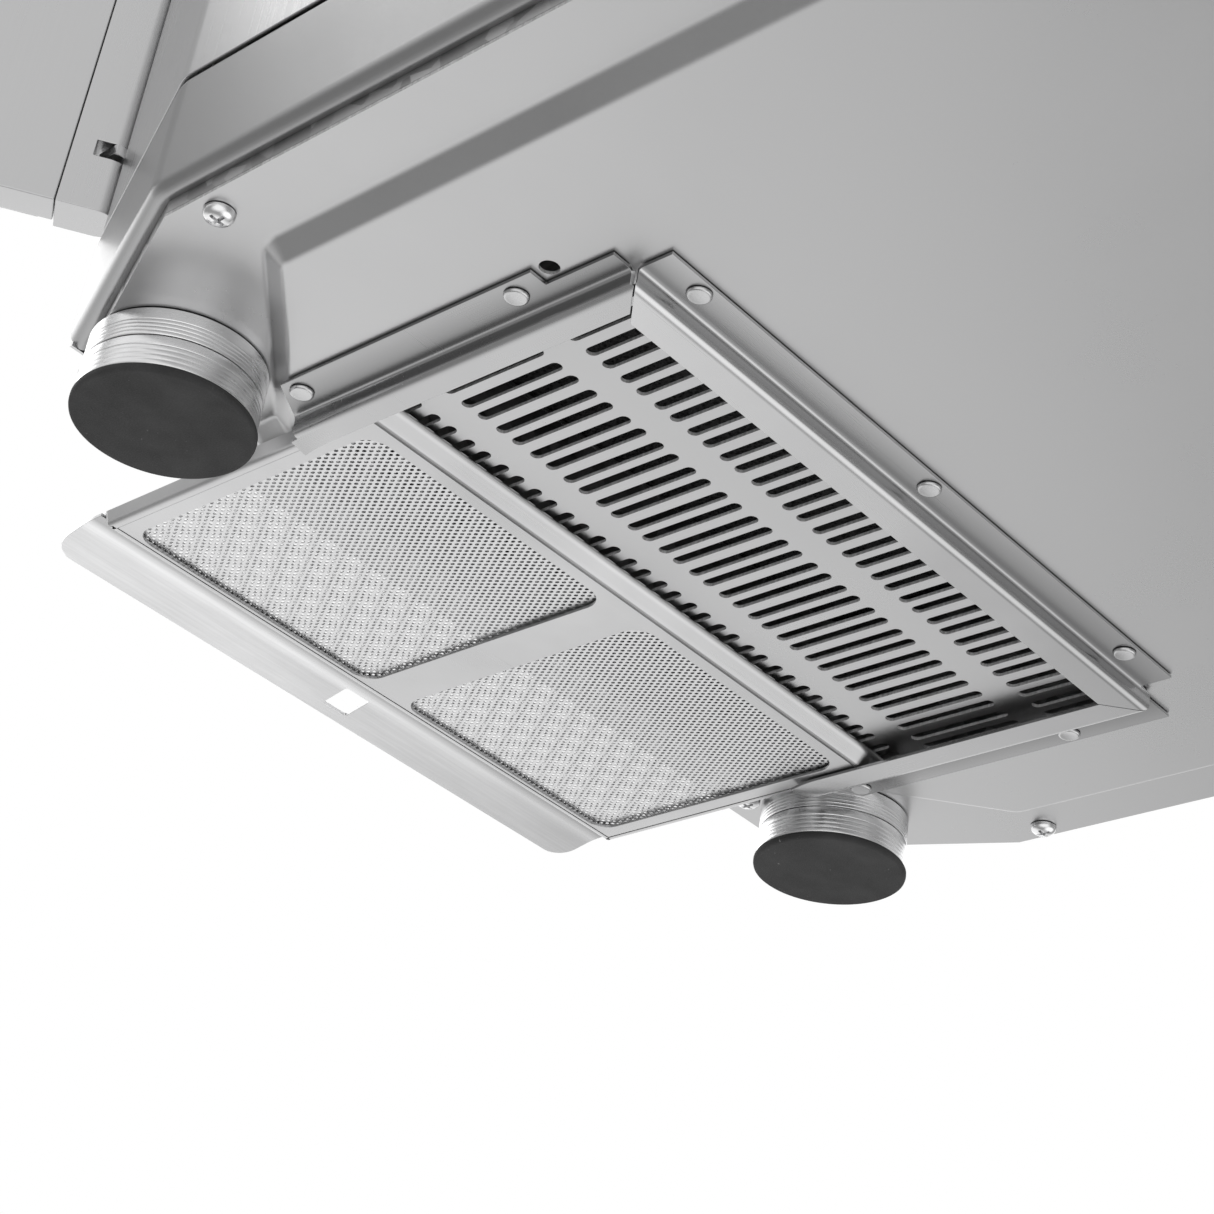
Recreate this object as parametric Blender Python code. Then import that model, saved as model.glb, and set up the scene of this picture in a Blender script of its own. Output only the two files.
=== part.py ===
"""Free-standing extractor unit: a stainless casing on four levelling feet, with an intake grille and
a slide-out mesh grease filter in its base, a centrifugal blower and an odour cassette inside, and a
side-hung front door. +X is right and -Y is front, and the feet stand on Z = 0.

Every length in this script is in millimetres, and solid() turns it into metres."""

from math import cos, pi, radians, sin

import bmesh
import bpy
from mathutils import Vector

MM = 0.001
GAP = 0.3                       # clearance between pieces that touch
SHEET = 1.2                     # stainless sheet

# Casing
HALF_WIDTH = 231.0
BACK_Y = 281.0
FRONT_Y = -278.0
TAPER_Y = -194.0                # where each side starts to taper to the front
FRONT_HALF = 195.0              # half the width across the front face
SKIRT_Z = (30.0, 75.0)
WALL_Z = (76.0, 343.0)
HEM = 5.0                       # depth of the inward hem under the skirt

# Base pan: a raised margin around a tray that hangs lower
MARGIN_Z = 25.0
TRAY_Z = 19.0
PAN_HALF = 225.0
PAN_FRONT_Y = -280.0
PAN_FRONT_HALF = 187.6
PAN_BACK_Y = 275.0
TRAY_HALF = 194.5
TRAY_NOSE_HALF = 130.0          # the tray narrows between the feet
TRAY_NOSE_Y = 252.0
TRAY_SHOULDER_Y = 172.7
STEP = 6.4                      # run of the sloping step between tray and margin

# Intake slots
SLOT_ROWS = (-100.85, -153.5, -206.1)
SLOT_LENGTH = 41.8
SLOT_WIDTH = 4.3
SLOT_PAIRS = 17
PAIR_PITCH = 16.1               # the slots are punched two at a time
PAIR_SPACING = 7.5
SLOT_SHIFT = -2.3

# Filter rails: Z sections riveted under the tray
RAIL_TOP = TRAY_Z - GAP
RAIL_BOTTOM = 11.2
RAIL_WEB = 138.4
RAIL_FLANGE = 154.0
RAIL_LIPS = {-1: 126.3, 1: 129.3}    # the right rail's lip is a little narrower
RAIL_BACK_Y = -67.5
RAIL_WEB_Y = -80.8
RAIL_LIP_Y = -93.2
RAIL_FRONT_Y = -226.0
RAIL_TAB_Y = (-218.0, -229.0)
SIDE_RIVETS_Y = (-119.6, -212.8)
BACK_RIVETS_X = (-109.0, 5.6, 120.2)
BACK_RIVETS_Y = -72.5

# Slide-out filter, given where it is when pushed home
FILTER_OUT = 103.0              # how far it stands pulled out
FILTER_HALF = 134.2
FILTER_Y = (-226.7, -87.7)
FILTER_Z = (12.8, 18.2)
WINDOW_X = (9.3, 123.6)
WINDOW_Y = (-220.6, -102.0)
WINDOW_RADIUS = 8.0
GRIP_REACH = 26.5
GRIP_DROP = 4.6

# Levelling feet
FOOT_X = 173.6
FOOT_Y = 245.5
PAD_RADIUS = 30.0
PAD_HEIGHT = 3.0
BARREL_RADIUS = 29.2
BARREL_TOP = 13.8
COLLAR_BOTTOM = 14.4
STUD_RADIUS = 7.0
STUD_TOP = 62.0

SCREWS = ((217.5, -176.5), (146.5, -268.0), (217.5, 176.5))

# Door, given where it is when shut
HINGE_X = 193.0
HINGE_Y = -287.0
DOOR_HALF_THICK = 7.5
DOOR_Z = (86.5, 326.0)
DOOR_OPEN = 145.0               # degrees
STILE_WIDTH = 14.0
HINGE_TABS_Z = (112.0, 290.0)
HANDLE_Z = (130.0, 270.0)
HANDLE_REACH = 28.0

# Front opening, shelf and odour cassette
OPENING_HALF = 166.0
OPENING_Z = (89.8, 312.0)
SHELF_Z = 88.6
SHELF_Y = (-262.0, 30.0)
CASSETTE_HALF = 150.0
CASSETTE_Y = (-262.0, -64.0)
CASSETTE_Z = (90.1, 130.0)

# Blower: its axis runs along X
FAN_Y = 120.0
FAN_Z = 190.0
WHEEL_RADIUS = 74.0
WHEEL_HALF = 50.0
BLADES = 18
SCROLL_HALF = 60.0
OUTLET_Z = (225.0, 300.0)
OUTLET_BARS = 9

# Controls on the front of the skirt
CONTROL_Z = 53.0
KNOB_X = 70.0
SWITCH_X = 128.0
INLET_X = -150.0

STEEL = ("satin_steel", (0.46, 0.46, 0.46), 0.34, 1.0)
BRIGHT = ("bright_steel", (0.62, 0.62, 0.62), 0.25, 1.0)
GALVANISED = ("galvanised_steel", (0.42, 0.43, 0.44), 0.45, 1.0)
ALUMINIUM = ("turned_aluminium", (0.72, 0.72, 0.72), 0.28, 1.0)
RUBBER = ("black_rubber", (0.035, 0.035, 0.035), 0.85, 0.0)
BLACK_PLASTIC = ("black_plastic", (0.03, 0.03, 0.03), 0.4, 0.0)
MOTOR_PAINT = ("motor_paint", (0.05, 0.05, 0.05), 0.5, 0.0)
CARBON = ("carbon_foam", (0.05, 0.05, 0.05), 0.95, 0.0)
MESH = ("filter_mesh", (0.55, 0.55, 0.55), 0.35, 1.0)


# --- building blocks -------------------------------------------------------------------------------

def clear_scene():
    for found in list(bpy.data.objects):
        bpy.data.objects.remove(found, do_unlink=True)


def material(spec):
    name, colour, roughness, metallic = spec
    made = bpy.data.materials.get(name)
    if made is None:
        made = bpy.data.materials.new(name)
        made.use_nodes = True
        shader = made.node_tree.nodes["Principled BSDF"]
        shader.inputs["Base Color"].default_value = (*colour, 1.0)
        shader.inputs["Roughness"].default_value = roughness
        shader.inputs["Metallic"].default_value = metallic
        made.diffuse_color = (*colour, 1.0)
    return made


def solid(name, bm, spec, origin=(0, 0, 0), parent=None, smooth=False):
    """Turns a bmesh in millimetres into a named object whose origin is at the given point."""
    bmesh.ops.recalc_face_normals(bm, faces=bm.faces)
    middle = Vector(origin)
    for vert in bm.verts:
        vert.co = (vert.co - middle) * MM
    mesh = bpy.data.meshes.new(name)
    bm.to_mesh(mesh)
    bm.free()
    mesh.materials.append(material(spec))
    if smooth:
        mesh.shade_smooth()
        mesh.set_sharp_from_angle(angle=radians(35))
    made = bpy.data.objects.new(name, mesh)
    bpy.context.scene.collection.objects.link(made)
    made.location = middle * MM
    if parent:
        made.parent = parent
    return made


def axis_empty(name, place, turn=0.0):
    made = bpy.data.objects.new(name, None)
    made.location = Vector(place) * MM
    made.rotation_euler = (0, 0, turn)
    bpy.context.scene.collection.objects.link(made)
    return made


def combine(target, bm, operation, parent=None):
    """Cuts a closed shape out of an object, or adds it, with a Boolean."""
    helper = solid(f"{target.name}_{operation.lower()}_{len(target.modifiers)}", bm, STEEL, parent=parent)
    helper.hide_render = True
    helper.display_type = "WIRE"
    made = target.modifiers.new(operation.lower(), "BOOLEAN")
    made.operation = operation
    made.object = helper
    made.solver = "EXACT"


def cut(target, bm, parent=None):
    combine(target, bm, "DIFFERENCE", parent)


def join(target, bm):
    combine(target, bm, "UNION")


def rectangle(x0, x1, y0, y1, radius=0.0, steps=3):
    """A rectangle's corners, anticlockwise, rounded where a radius is given."""
    if not radius:
        return [(x0, y0), (x1, y0), (x1, y1), (x0, y1)]
    middles = ((x1 - radius, y0 + radius), (x1 - radius, y1 - radius),
               (x0 + radius, y1 - radius), (x0 + radius, y0 + radius))
    points = []
    for quarter, (cx, cy) in enumerate(middles):
        for step in range(steps + 1):
            angle = (quarter - 1) * pi / 2 + step * pi / 2 / steps
            points.append((cx + radius * cos(angle), cy + radius * sin(angle)))
    return points


def circle(x, y, radius, count=16):
    angles = [2 * pi * i / count for i in range(count)]
    return [(x + radius * cos(angle), y + radius * sin(angle)) for angle in angles]


def slot(x, y, width, length, steps=3):
    """A slot that runs along Y with round ends."""
    half, run = width / 2, length / 2 - width / 2
    angles = [pi * i / steps for i in range(steps + 1)]
    end = [(x + half * cos(angle), y + run + half * sin(angle)) for angle in angles]
    return end + [(2 * x - a, 2 * y - b) for a, b in end]


def place(point, height, plane):
    a, b = point
    return {"XY": (a, b, height), "XZ": (a, height, b), "YZ": (height, a, b)}[plane]


def loop_edges(bm, points, height=0.0, plane="XY"):
    verts = [bm.verts.new(place(p, height, plane)) for p in points]
    edges = [bm.edges.new((verts[i - 1], verts[i])) for i in range(len(verts))]
    return verts, edges


def plate(outline, holes, low, high, plane="XY"):
    """A flat plate between two heights with holes right through it."""
    bm = bmesh.new()
    edges = []
    for points in [outline, *holes]:
        edges += loop_edges(bm, points, low, plane)[1]
    bmesh.ops.triangle_fill(bm, use_beauty=True, edges=edges)
    thicken(bm, Vector(place((0, 0), high - low, plane)))
    return bm


def thicken(bm, move):
    """Gives the surface in bm a thickness, in one direction."""
    made = bmesh.ops.extrude_face_region(bm, geom=bm.faces[:])
    verts = [item for item in made["geom"] if isinstance(item, bmesh.types.BMVert)]
    bmesh.ops.translate(bm, verts=verts, vec=move)


def loft(loops, closed=False, sheet=False):
    """Skins loops of the same number of points. Unless it closes on itself its ends are capped, and
    the ends of a folded sheet are capped across its thickness, fold by fold."""
    bm = bmesh.new()
    rings = [[bm.verts.new(p) for p in points] for points in loops]
    pairs = list(zip(rings, rings[1:]))
    if closed:
        pairs.append((rings[-1], rings[0]))
    for one, two in pairs:
        for i in range(len(one)):
            bm.faces.new((one[i - 1], one[i], two[i], two[i - 1]))
    for ring in () if closed else (rings[0], rings[-1]):
        if sheet:
            for i in range(len(ring) // 2 - 1):
                bm.faces.new((ring[i], ring[i + 1], ring[-i - 2], ring[-i - 1]))
        else:
            bm.faces.new(ring)
    return bm


def box(x0, x1, y0, y1, z0, z1):
    corners = rectangle(x0, x1, y0, y1)
    return loft([[(x, y, z) for x, y in corners] for z in (z0, z1)])


def turned(profile, centre, count=24, axis="Z"):
    """Turns a closed profile of (radius, height) points about an axis through centre."""
    bm = bmesh.new()
    rings = []
    for radius, height in profile:
        ring = []
        for i in range(1 if radius == 0 else count):
            angle = 2 * pi * i / count
            a, b = radius * cos(angle), radius * sin(angle)
            turned_to = {"Z": (a, b, height), "X": (height, a, b), "Y": (b, height, a)}[axis]
            ring.append(bm.verts.new(Vector(centre) + Vector(turned_to)))
        rings.append(ring)
    for one, two in zip(rings, rings[1:] + rings[:1]):
        for i in range(count if len(one) + len(two) > 2 else 0):
            face = [one[i - 1], one[i]] if len(one) > 1 else [one[0]]
            face += [two[i], two[i - 1]] if len(two) > 1 else [two[0]]
            bm.faces.new(face)
    return bm


def rounded(points, radius, steps=2):
    """Rounds the inner corners of an open line."""
    path = [Vector(points[0])]
    for before, corner, after in zip(points, points[1:], points[2:]):
        corner = Vector(corner)
        to_start = (Vector(before) - corner).normalized()
        to_end = (Vector(after) - corner).normalized()
        start, end = corner + to_start * radius, corner + to_end * radius
        for step in range(steps + 1):
            t = step / steps
            path.append(start * (1 - t) ** 2 + corner * 2 * t * (1 - t) + end * t ** 2)
    path.append(Vector(points[-1]))
    return path


def folded(points, radius=2.0, thick=SHEET, steps=2):
    """The closed outline of a folded sheet, from the line through the middle of its thickness."""
    path = rounded(points, radius, steps)
    left, right = [], []
    for i, point in enumerate(path):
        before = (point - path[i - 1]).normalized() if i else None
        after = (path[i + 1] - point).normalized() if i + 1 < len(path) else None
        along = ((before or after) + (after or before)).normalized()
        side = Vector((-along.y, along.x)) * (thick / 2) / max(0.3, along.dot(before or after))
        left.append(tuple(point + side))
        right.append(tuple(point - side))
    return left + right[::-1]


def inset(outline, distance):
    """Moves each side of an anticlockwise outline inwards by a distance."""
    moved = []
    for i, (x, y) in enumerate(outline):
        px, py = outline[i - 1]
        nx, ny = outline[(i + 1) % len(outline)]
        a = Vector((x - px, y - py)).normalized()
        b = Vector((nx - x, ny - y)).normalized()
        normal_a, normal_b = Vector((-a.y, a.x)), Vector((-b.y, b.x))
        mitre = (normal_a + normal_b) / (1 + normal_a.dot(normal_b))
        moved.append((x + mitre.x * distance, y + mitre.y * distance))
    return moved


def swept(section, outline):
    """Carries a section of (depth inwards, height) points around a closed plan outline."""
    around = [[(x, y, z) for x, y in inset(outline, depth)] for depth, z in section]
    return loft([[line[i] for line in around] for i in range(len(outline))], closed=True)


def mirrored(points):
    return points + [(-x, y) for x, y in reversed(points)]


BODY = mirrored([(FRONT_HALF, FRONT_Y), (HALF_WIDTH, TAPER_Y), (HALF_WIDTH, BACK_Y)])


# --- base ------------------------------------------------------------------------------------------

def slot_outlines():
    outlines = []
    for y in SLOT_ROWS:
        for pair in range(SLOT_PAIRS):
            middle = (pair - (SLOT_PAIRS - 1) / 2) * PAIR_PITCH + SLOT_SHIFT
            for x in (middle - PAIR_SPACING / 2, middle + PAIR_SPACING / 2):
                outlines.append(slot(x, y, SLOT_WIDTH, SLOT_LENGTH))
    return outlines


def rivet_places():
    sides = [(x, y) for x in (-148.0, 148.0) for y in SIDE_RIVETS_Y]
    return sides + [(x, BACK_RIVETS_Y) for x in BACK_RIVETS_X]


def screw_places():
    return [(side * x, y) for x, y in SCREWS for side in (-1, 1)]


def foot_places():
    return [(side * FOOT_X, end * FOOT_Y) for end in (-1, 1) for side in (-1, 1)]


def base_pan():
    """One pressed sheet: the flat margin, the sloping step and the slotted tray."""
    neck = TRAY_SHOULDER_Y + TRAY_HALF - TRAY_NOSE_HALF
    half = mirrored([(TRAY_NOSE_HALF, -TRAY_NOSE_Y), (TRAY_NOSE_HALF, -neck), (TRAY_HALF, -TRAY_SHOULDER_Y),
                     (TRAY_HALF, TRAY_SHOULDER_Y), (TRAY_NOSE_HALF, neck), (TRAY_NOSE_HALF, TRAY_NOSE_Y)])
    taper = (PAN_HALF - PAN_FRONT_HALF) * (FRONT_Y - TAPER_Y) / (FRONT_HALF - HALF_WIDTH)
    right_side = [(PAN_FRONT_HALF, PAN_FRONT_Y), (PAN_HALF, PAN_FRONT_Y + taper), (PAN_HALF, PAN_BACK_Y)]
    outline = mirrored(right_side)
    bm = bmesh.new()
    low, low_edges = loop_edges(bm, half, TRAY_Z)
    high, high_edges = loop_edges(bm, inset(half, -STEP), MARGIN_Z)
    margin = list(high_edges)
    for points in [outline] + [circle(x, y, 2.9, 8) for x, y in screw_places()] + \
            [circle(x, y, STUD_RADIUS + 1, 16) for x, y in foot_places()]:
        margin += loop_edges(bm, points, MARGIN_Z)[1]
    tray = list(low_edges)
    spare_hole = circle(151.4, -103.6, 3.25, 12)
    for points in slot_outlines() + [circle(x, y, 2.3, 8) for x, y in rivet_places()] + [spare_hole]:
        tray += loop_edges(bm, points, TRAY_Z)[1]
    for edges in (margin, tray):
        bmesh.ops.triangle_fill(bm, use_beauty=True, edges=edges)
    for i in range(len(low)):
        bm.faces.new((low[i - 1], low[i], high[i], high[i - 1]))
    thicken(bm, Vector((0, 0, SHEET)))
    solid("base_pan", bm, STEEL)


def base_frame():
    """An angle frame inside the skirt. The pan is screwed up to its flange."""
    bottom = MARGIN_Z + SHEET + GAP
    section = [(6.1, bottom), (24.0, bottom), (24.0, bottom + SHEET), (6.1 + SHEET, bottom + SHEET),
               (6.1 + SHEET, 40.0), (6.1, 40.0)]
    made = solid("base_frame", swept(section, BODY), GALVANISED)
    for x, y in screw_places():
        cut(made, turned([(0, 20), (2.3, 20), (2.3, 35), (0, 35)], (x, y, 0), 8))


def base_skirt():
    """The casing's lower wall, hemmed inwards at the bottom and flanged at the top."""
    low, high = SKIRT_Z
    middle = SHEET / 2
    line = [(11.0, high - middle), (middle, high - middle), (middle, low + middle),
            (HEM, low + middle), (HEM, low + HEM)]
    made = solid("base_skirt", swept(folded(line, 1.4), BODY), STEEL)
    cut(made, turned([(0, -12), (3.6, -12), (3.6, 12), (0, 12)], (KNOB_X, FRONT_Y, CONTROL_Z), 12, "Y"))
    cut(made, box(SWITCH_X - 6.6, SWITCH_X + 6.6, FRONT_Y - 9, FRONT_Y + 9, CONTROL_Z - 9.6, CONTROL_Z + 9.6))
    cut(made, box(INLET_X - 14.3, INLET_X + 14.3, BACK_Y - 9, BACK_Y + 9, CONTROL_Z - 10.3, CONTROL_Z + 10.3))


def side_rail(side):
    """A Z section: a flange riveted to the tray, a web, and a lip that the filter slides on. Its
    back end is mitred, and the lip flares down at the front to let the filter in."""
    top, bottom = RAIL_TOP - SHEET / 2, RAIL_BOTTOM + SHEET / 2
    section = folded([(RAIL_FLANGE, top), (RAIL_WEB, top), (RAIL_WEB, bottom), (RAIL_LIPS[side], bottom)],
                     1.6)
    tab_start, tab_end = RAIL_TAB_Y
    stations = []
    for station in range(3):
        points = []
        for x, z in section:
            on_lip = x < RAIL_WEB - 2.0
            back = RAIL_WEB_Y - GAP - max(0.0, RAIL_WEB - x) if x < RAIL_WEB else RAIL_WEB_Y - 1.4
            front = tab_end if on_lip else RAIL_FRONT_Y + 0.6 * max(0.0, x - RAIL_WEB)
            middle = tab_start if on_lip else tab_start + 10.0
            flare = 1.4 if on_lip and station == 2 else 0.0
            points.append((side * x, (back, middle, front)[station], z - flare))
        stations.append(points)
    name = "rail_right" if side > 0 else "rail_left"
    made = solid(name, loft(stations, sheet=True), BRIGHT)
    for y in SIDE_RIVETS_Y:
        cut(made, turned([(0, 15), (2.3, 15), (2.3, 22), (0, 22)], (side * 148.0, y, 0), 8))
    if side > 0:
        cut(made, turned([(0, 15), (5.2, 15), (5.2, 22), (0, 22)], (154.4, -103.6, 0), 16))


def back_rail():
    top, bottom = RAIL_TOP - SHEET / 2, RAIL_BOTTOM + SHEET / 2
    section = folded([(RAIL_BACK_Y, top), (RAIL_WEB_Y, top), (RAIL_WEB_Y, bottom), (RAIL_LIP_Y, bottom)], 1.6)
    ends = []
    for side in (-1, 1):
        points = []
        for y, z in section:
            flange_end = -131.2 if side < 0 else 138.4
            lip_end = side * (RAIL_WEB - GAP - max(0.0, RAIL_WEB_Y - y))
            points.append((flange_end if y > RAIL_WEB_Y + 0.7 else lip_end, y, z))
        ends.append(points)
    made = solid("rail_back", loft(ends, sheet=True), BRIGHT)
    for x in BACK_RIVETS_X:
        cut(made, turned([(0, 15), (2.3, 15), (2.3, 22), (0, 22)], (x, BACK_RIVETS_Y, 0), 8))


def rivets():
    head_top = RAIL_TOP - SHEET - GAP
    inner = TRAY_Z + SHEET + GAP
    profile = [(0, head_top - 1.8), (2.6, head_top - 1.7), (3.7, head_top - 1.1), (4.0, head_top),
               (2.0, head_top), (2.0, inner), (3.2, inner), (2.6, inner + 1.3), (0, inner + 1.5)]
    for number, (x, y) in enumerate(rivet_places(), 1):
        solid(f"rail_rivet_{number}", turned(profile, (x, y, 0), 12), BRIGHT, (x, y, head_top), smooth=True)


def pan_screws():
    """Pan-head screws with a cross recess, up through the margin into the frame."""
    head = MARGIN_Z - GAP
    profile = [(0, head - 1.6), (1.4, head - 1.8), (1.7, head - 3.1), (3.4, head - 2.8), (4.7, head - 1.7),
               (5.0, head), (2.0, head), (2.0, head + 8), (0, head + 9)]
    for number, (x, y) in enumerate(screw_places(), 1):
        solid(f"pan_screw_{number}", turned(profile, (x, y, 0), 12), BRIGHT, (x, y, head), smooth=True)


def foot(number, x, y):
    """A fixed collar under the pan, and a barrel with a rubber pad that screws out of it."""
    collar = [(STUD_RADIUS + 0.8, COLLAR_BOTTOM), (BARREL_RADIUS - 1, COLLAR_BOTTOM),
              (BARREL_RADIUS, COLLAR_BOTTOM + 1), (BARREL_RADIUS, MARGIN_Z - GAP - 0.6),
              (BARREL_RADIUS - 0.6, MARGIN_Z - GAP), (STUD_RADIUS + 0.8, MARGIN_Z - GAP)]
    solid(f"foot_collar_{number}", turned(collar, (x, y, 0)), ALUMINIUM, (x, y, COLLAR_BOTTOM), smooth=True)
    low = PAD_HEIGHT + GAP
    barrel = [(0, low), (BARREL_RADIUS - 0.8, low), (BARREL_RADIUS, low + 0.8),
              (BARREL_RADIUS, BARREL_TOP - 0.8), (BARREL_RADIUS - 0.8, BARREL_TOP), (STUD_RADIUS, BARREL_TOP),
              (STUD_RADIUS, STUD_TOP - 2), (STUD_RADIUS - 2, STUD_TOP), (0, STUD_TOP)]
    axis = axis_empty(f"foot_axis_{number}", (x, y, 0))
    barrel_mesh = turned(barrel, (0, 0, 0))
    solid(f"foot_barrel_{number}", barrel_mesh, ALUMINIUM, parent=axis, smooth=True)
    pad = [(0, 0), (PAD_RADIUS - 1, 0), (PAD_RADIUS, 1), (PAD_RADIUS, PAD_HEIGHT - 0.6),
           (PAD_RADIUS - 0.6, PAD_HEIGHT), (0, PAD_HEIGHT)]
    solid(f"foot_pad_{number}", turned(pad, (0, 0, 0)), RUBBER, parent=axis, smooth=True)


# --- slide-out grease filter -----------------------------------------------------------------------

def grease_filter():
    axis = axis_empty("filter_slide_axis", (0, -FILTER_OUT, 0))
    y0, y1 = FILTER_Y
    z0, z1 = FILTER_Z
    windows = [rectangle(*sorted((side * WINDOW_X[0], side * WINDOW_X[1])), *WINDOW_Y, WINDOW_RADIUS)
               for side in (-1, 1)]
    frame = plate(rectangle(-FILTER_HALF, FILTER_HALF, y0, y1, 2.0), windows, z0, z1)
    solid("filter_frame", frame, BRIGHT, parent=axis)
    for side, name in ((-1, "left"), (1, "right")):
        x0, x1 = sorted((side * (WINDOW_X[0] + GAP), side * (WINDOW_X[1] - GAP)))
        outline = rectangle(x0, x1, WINDOW_Y[0] + GAP, WINDOW_Y[1] - GAP, WINDOW_RADIUS - GAP)
        solid(f"filter_mesh_{name}", plate(outline, [], 14.2, 16.8), MESH, parent=axis)
    grip(axis)


def grip(axis):
    """The sloping pull along the filter's front, with round corners and a hook hole."""
    reach, drop, radius = GRIP_REACH, GRIP_DROP, 9.0
    front = FILTER_Y[0] - GAP
    outline = [(FILTER_HALF, front), (FILTER_HALF, front - reach + radius)]
    for step in range(1, 6):
        angle = step * pi / 10
        outline.append((FILTER_HALF - radius * (1 - cos(angle)), front - reach + radius * (1 - sin(angle))))
    outline = mirrored(outline[::-1])
    hole = rectangle(-6.0, 6.0, front - reach + 5.0, front - reach + 17.5, 1.0, 2)
    bm = plate(outline, [hole], FILTER_Z[1] - SHEET, FILTER_Z[1])
    bends = (front - 4.0, front - 10.0)
    for bend in bends:
        bmesh.ops.bisect_plane(bm, geom=bm.verts[:] + bm.edges[:] + bm.faces[:], plane_co=(0, bend, 0),
                               plane_no=(0, 1, 0), dist=1e-5)
    for vert in bm.verts:
        run = front - vert.co.y
        slope = drop / (reach - 7.0)
        vert.co.z -= slope * (max(0.0, run - 4.0) * 0.5 + max(0.0, run - 10.0) * 0.5)
    solid("filter_grip", bm, BRIGHT, parent=axis)


# --- casing ----------------------------------------------------------------------------------------

def side_panel(side):
    """One sheet folded round the side, the taper and the front corner, with a return at each end."""
    middle = SHEET / 2
    back = BACK_Y - SHEET - GAP - middle
    line = [(FRONT_HALF - 18, FRONT_Y + middle), (FRONT_HALF - middle, FRONT_Y + middle),
            (HALF_WIDTH - middle, TAPER_Y), (HALF_WIDTH - middle, back), (HALF_WIDTH - 14, back)]
    outline = [(side * x, y) for x, y in folded(line, 1.6)]
    name = "side_panel_right" if side > 0 else "side_panel_left"
    solid(name, plate(outline, [], *WALL_Z), STEEL)


def rear_panel():
    outlet = rectangle(-64, 64, OUTLET_Z[0] - 4, OUTLET_Z[1] + 4)
    outline = rectangle(-HALF_WIDTH, HALF_WIDTH, *WALL_Z)
    solid("rear_panel", plate(outline, [outlet], BACK_Y - SHEET, BACK_Y, "XZ"), STEEL)


def top_cover():
    """A lid whose rim laps down outside the walls."""
    top = WALL_Z[1] + GAP + SHEET
    rim, clear = top - 15.0, -0.4
    outside = clear - SHEET
    section = [(clear, top - SHEET), (clear, rim), (outside, rim), (outside, top - 1.2), (clear, top)]
    loops = [[(x, y, z) for x, y in inset(BODY, depth)] for depth, z in section]
    solid("top_cover", loft(loops), STEEL)


def door_frame():
    """A flanged frame behind the front corners, with the opening for the cassette."""
    front = FRONT_Y + SHEET + GAP
    back, flange = front + SHEET, front + 14.0
    outer = rectangle(-FRONT_HALF + 3, FRONT_HALF - 3, WALL_Z[0] + GAP, WALL_Z[1] - GAP)
    opening = rectangle(-OPENING_HALF, OPENING_HALF, *OPENING_Z)
    around = inset(opening, -SHEET)
    loops = []
    for points, y in ((outer, front), (outer, back), (around, back), (around, flange), (opening, flange),
                      (opening, front)):
        loops.append([(x, y, z) for x, z in points])
    solid("door_frame", loft(loops, closed=True), STEEL)


def outlet_grille():
    """A framed grille over the outlet in the rear panel."""
    low, high = OUTLET_Z
    pitch = (high - low) / OUTLET_BARS
    holes = []
    for i in range(OUTLET_BARS):
        holes.append(rectangle(-60, 60, low + i * pitch + 1.2, low + (i + 1) * pitch - 1.2))
    outline = rectangle(-72, 72, low - 10, high + 10, 4.0)
    solid("outlet_grille", plate(outline, holes, BACK_Y + GAP, BACK_Y + 2.5, "XZ"), BRIGHT)


# --- door ------------------------------------------------------------------------------------------

def door_outline(low, high, width):
    """The door's plan shape seen from above, relative to the hinge: its hinge edge is round."""
    points = [(-width, low), (-width, high)]
    if low < -DOOR_HALF_THICK + 0.1 and high > DOOR_HALF_THICK - 0.1:
        for step in range(9):
            angle = pi / 2 - step * pi / 8
            points.append((DOOR_HALF_THICK * cos(angle), DOOR_HALF_THICK * sin(angle)))
    return points


def front_door():
    """A folded door shell with a liner behind it, a round hinge stile, and a bar handle."""
    axis = axis_empty("door_hinge_axis", (HINGE_X, HINGE_Y, 0), radians(DOOR_OPEN))
    z0, z1 = DOOR_Z
    t = DOOR_HALF_THICK
    free_edge = 2.0 - FRONT_HALF - HINGE_X
    made = solid("door_stile", plate(stile_outline(), [], z0, z1), STEEL, parent=axis, smooth=True)
    for z in HINGE_TABS_Z:
        notch = box(-6.3, 12, -12, 12, z - 3.3, z + 3.3)
        pocket = turned([(0, z - 12), (2.9, z - 12), (2.9, z + 12), (0, z + 12)], (0, 0, 0), 12)
        for shape in (notch, pocket):
            cut(made, shape, axis)
    door_shell(axis, rectangle(free_edge, -STILE_WIDTH - GAP, z0, z1))
    liner = plate(rectangle(free_edge + 2, -STILE_WIDTH - 2, z0 + 2, z1 - 2, 4.0), [], t - 2.7, t, "XZ")
    solid("door_liner", liner, GALVANISED, parent=axis)
    handle(axis, free_edge + 34)


def stile_outline():
    """The hinge stile's plan shape, seen from above and relative to the hinge."""
    t = DOOR_HALF_THICK
    points = [(-STILE_WIDTH, -t), (-STILE_WIDTH, t)]
    for step in range(9):
        angle = pi / 2 - step * pi / 8
        points.append((t * cos(angle), t * sin(angle)))
    return points


def door_shell(axis, outer):
    """The outer skin: a shallow tray that opens towards the liner."""
    front, back = -DOOR_HALF_THICK, DOOR_HALF_THICK - 3.0
    inner = inset(outer, SHEET)
    loops = [(outer, back), (outer, front), (inner, front + SHEET), (inner, back)]
    bm = bmesh.new()
    rings = [[bm.verts.new((x, y, z)) for x, z in points] for points, y in loops]
    for one, two in ((0, 1), (2, 3), (3, 0)):
        for i in range(4):
            bm.faces.new((rings[one][i - 1], rings[one][i], rings[two][i], rings[two][i - 1]))
    bm.faces.new(rings[1])
    bm.faces.new(rings[2])
    solid("front_door", bm, STEEL, parent=axis)


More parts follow.
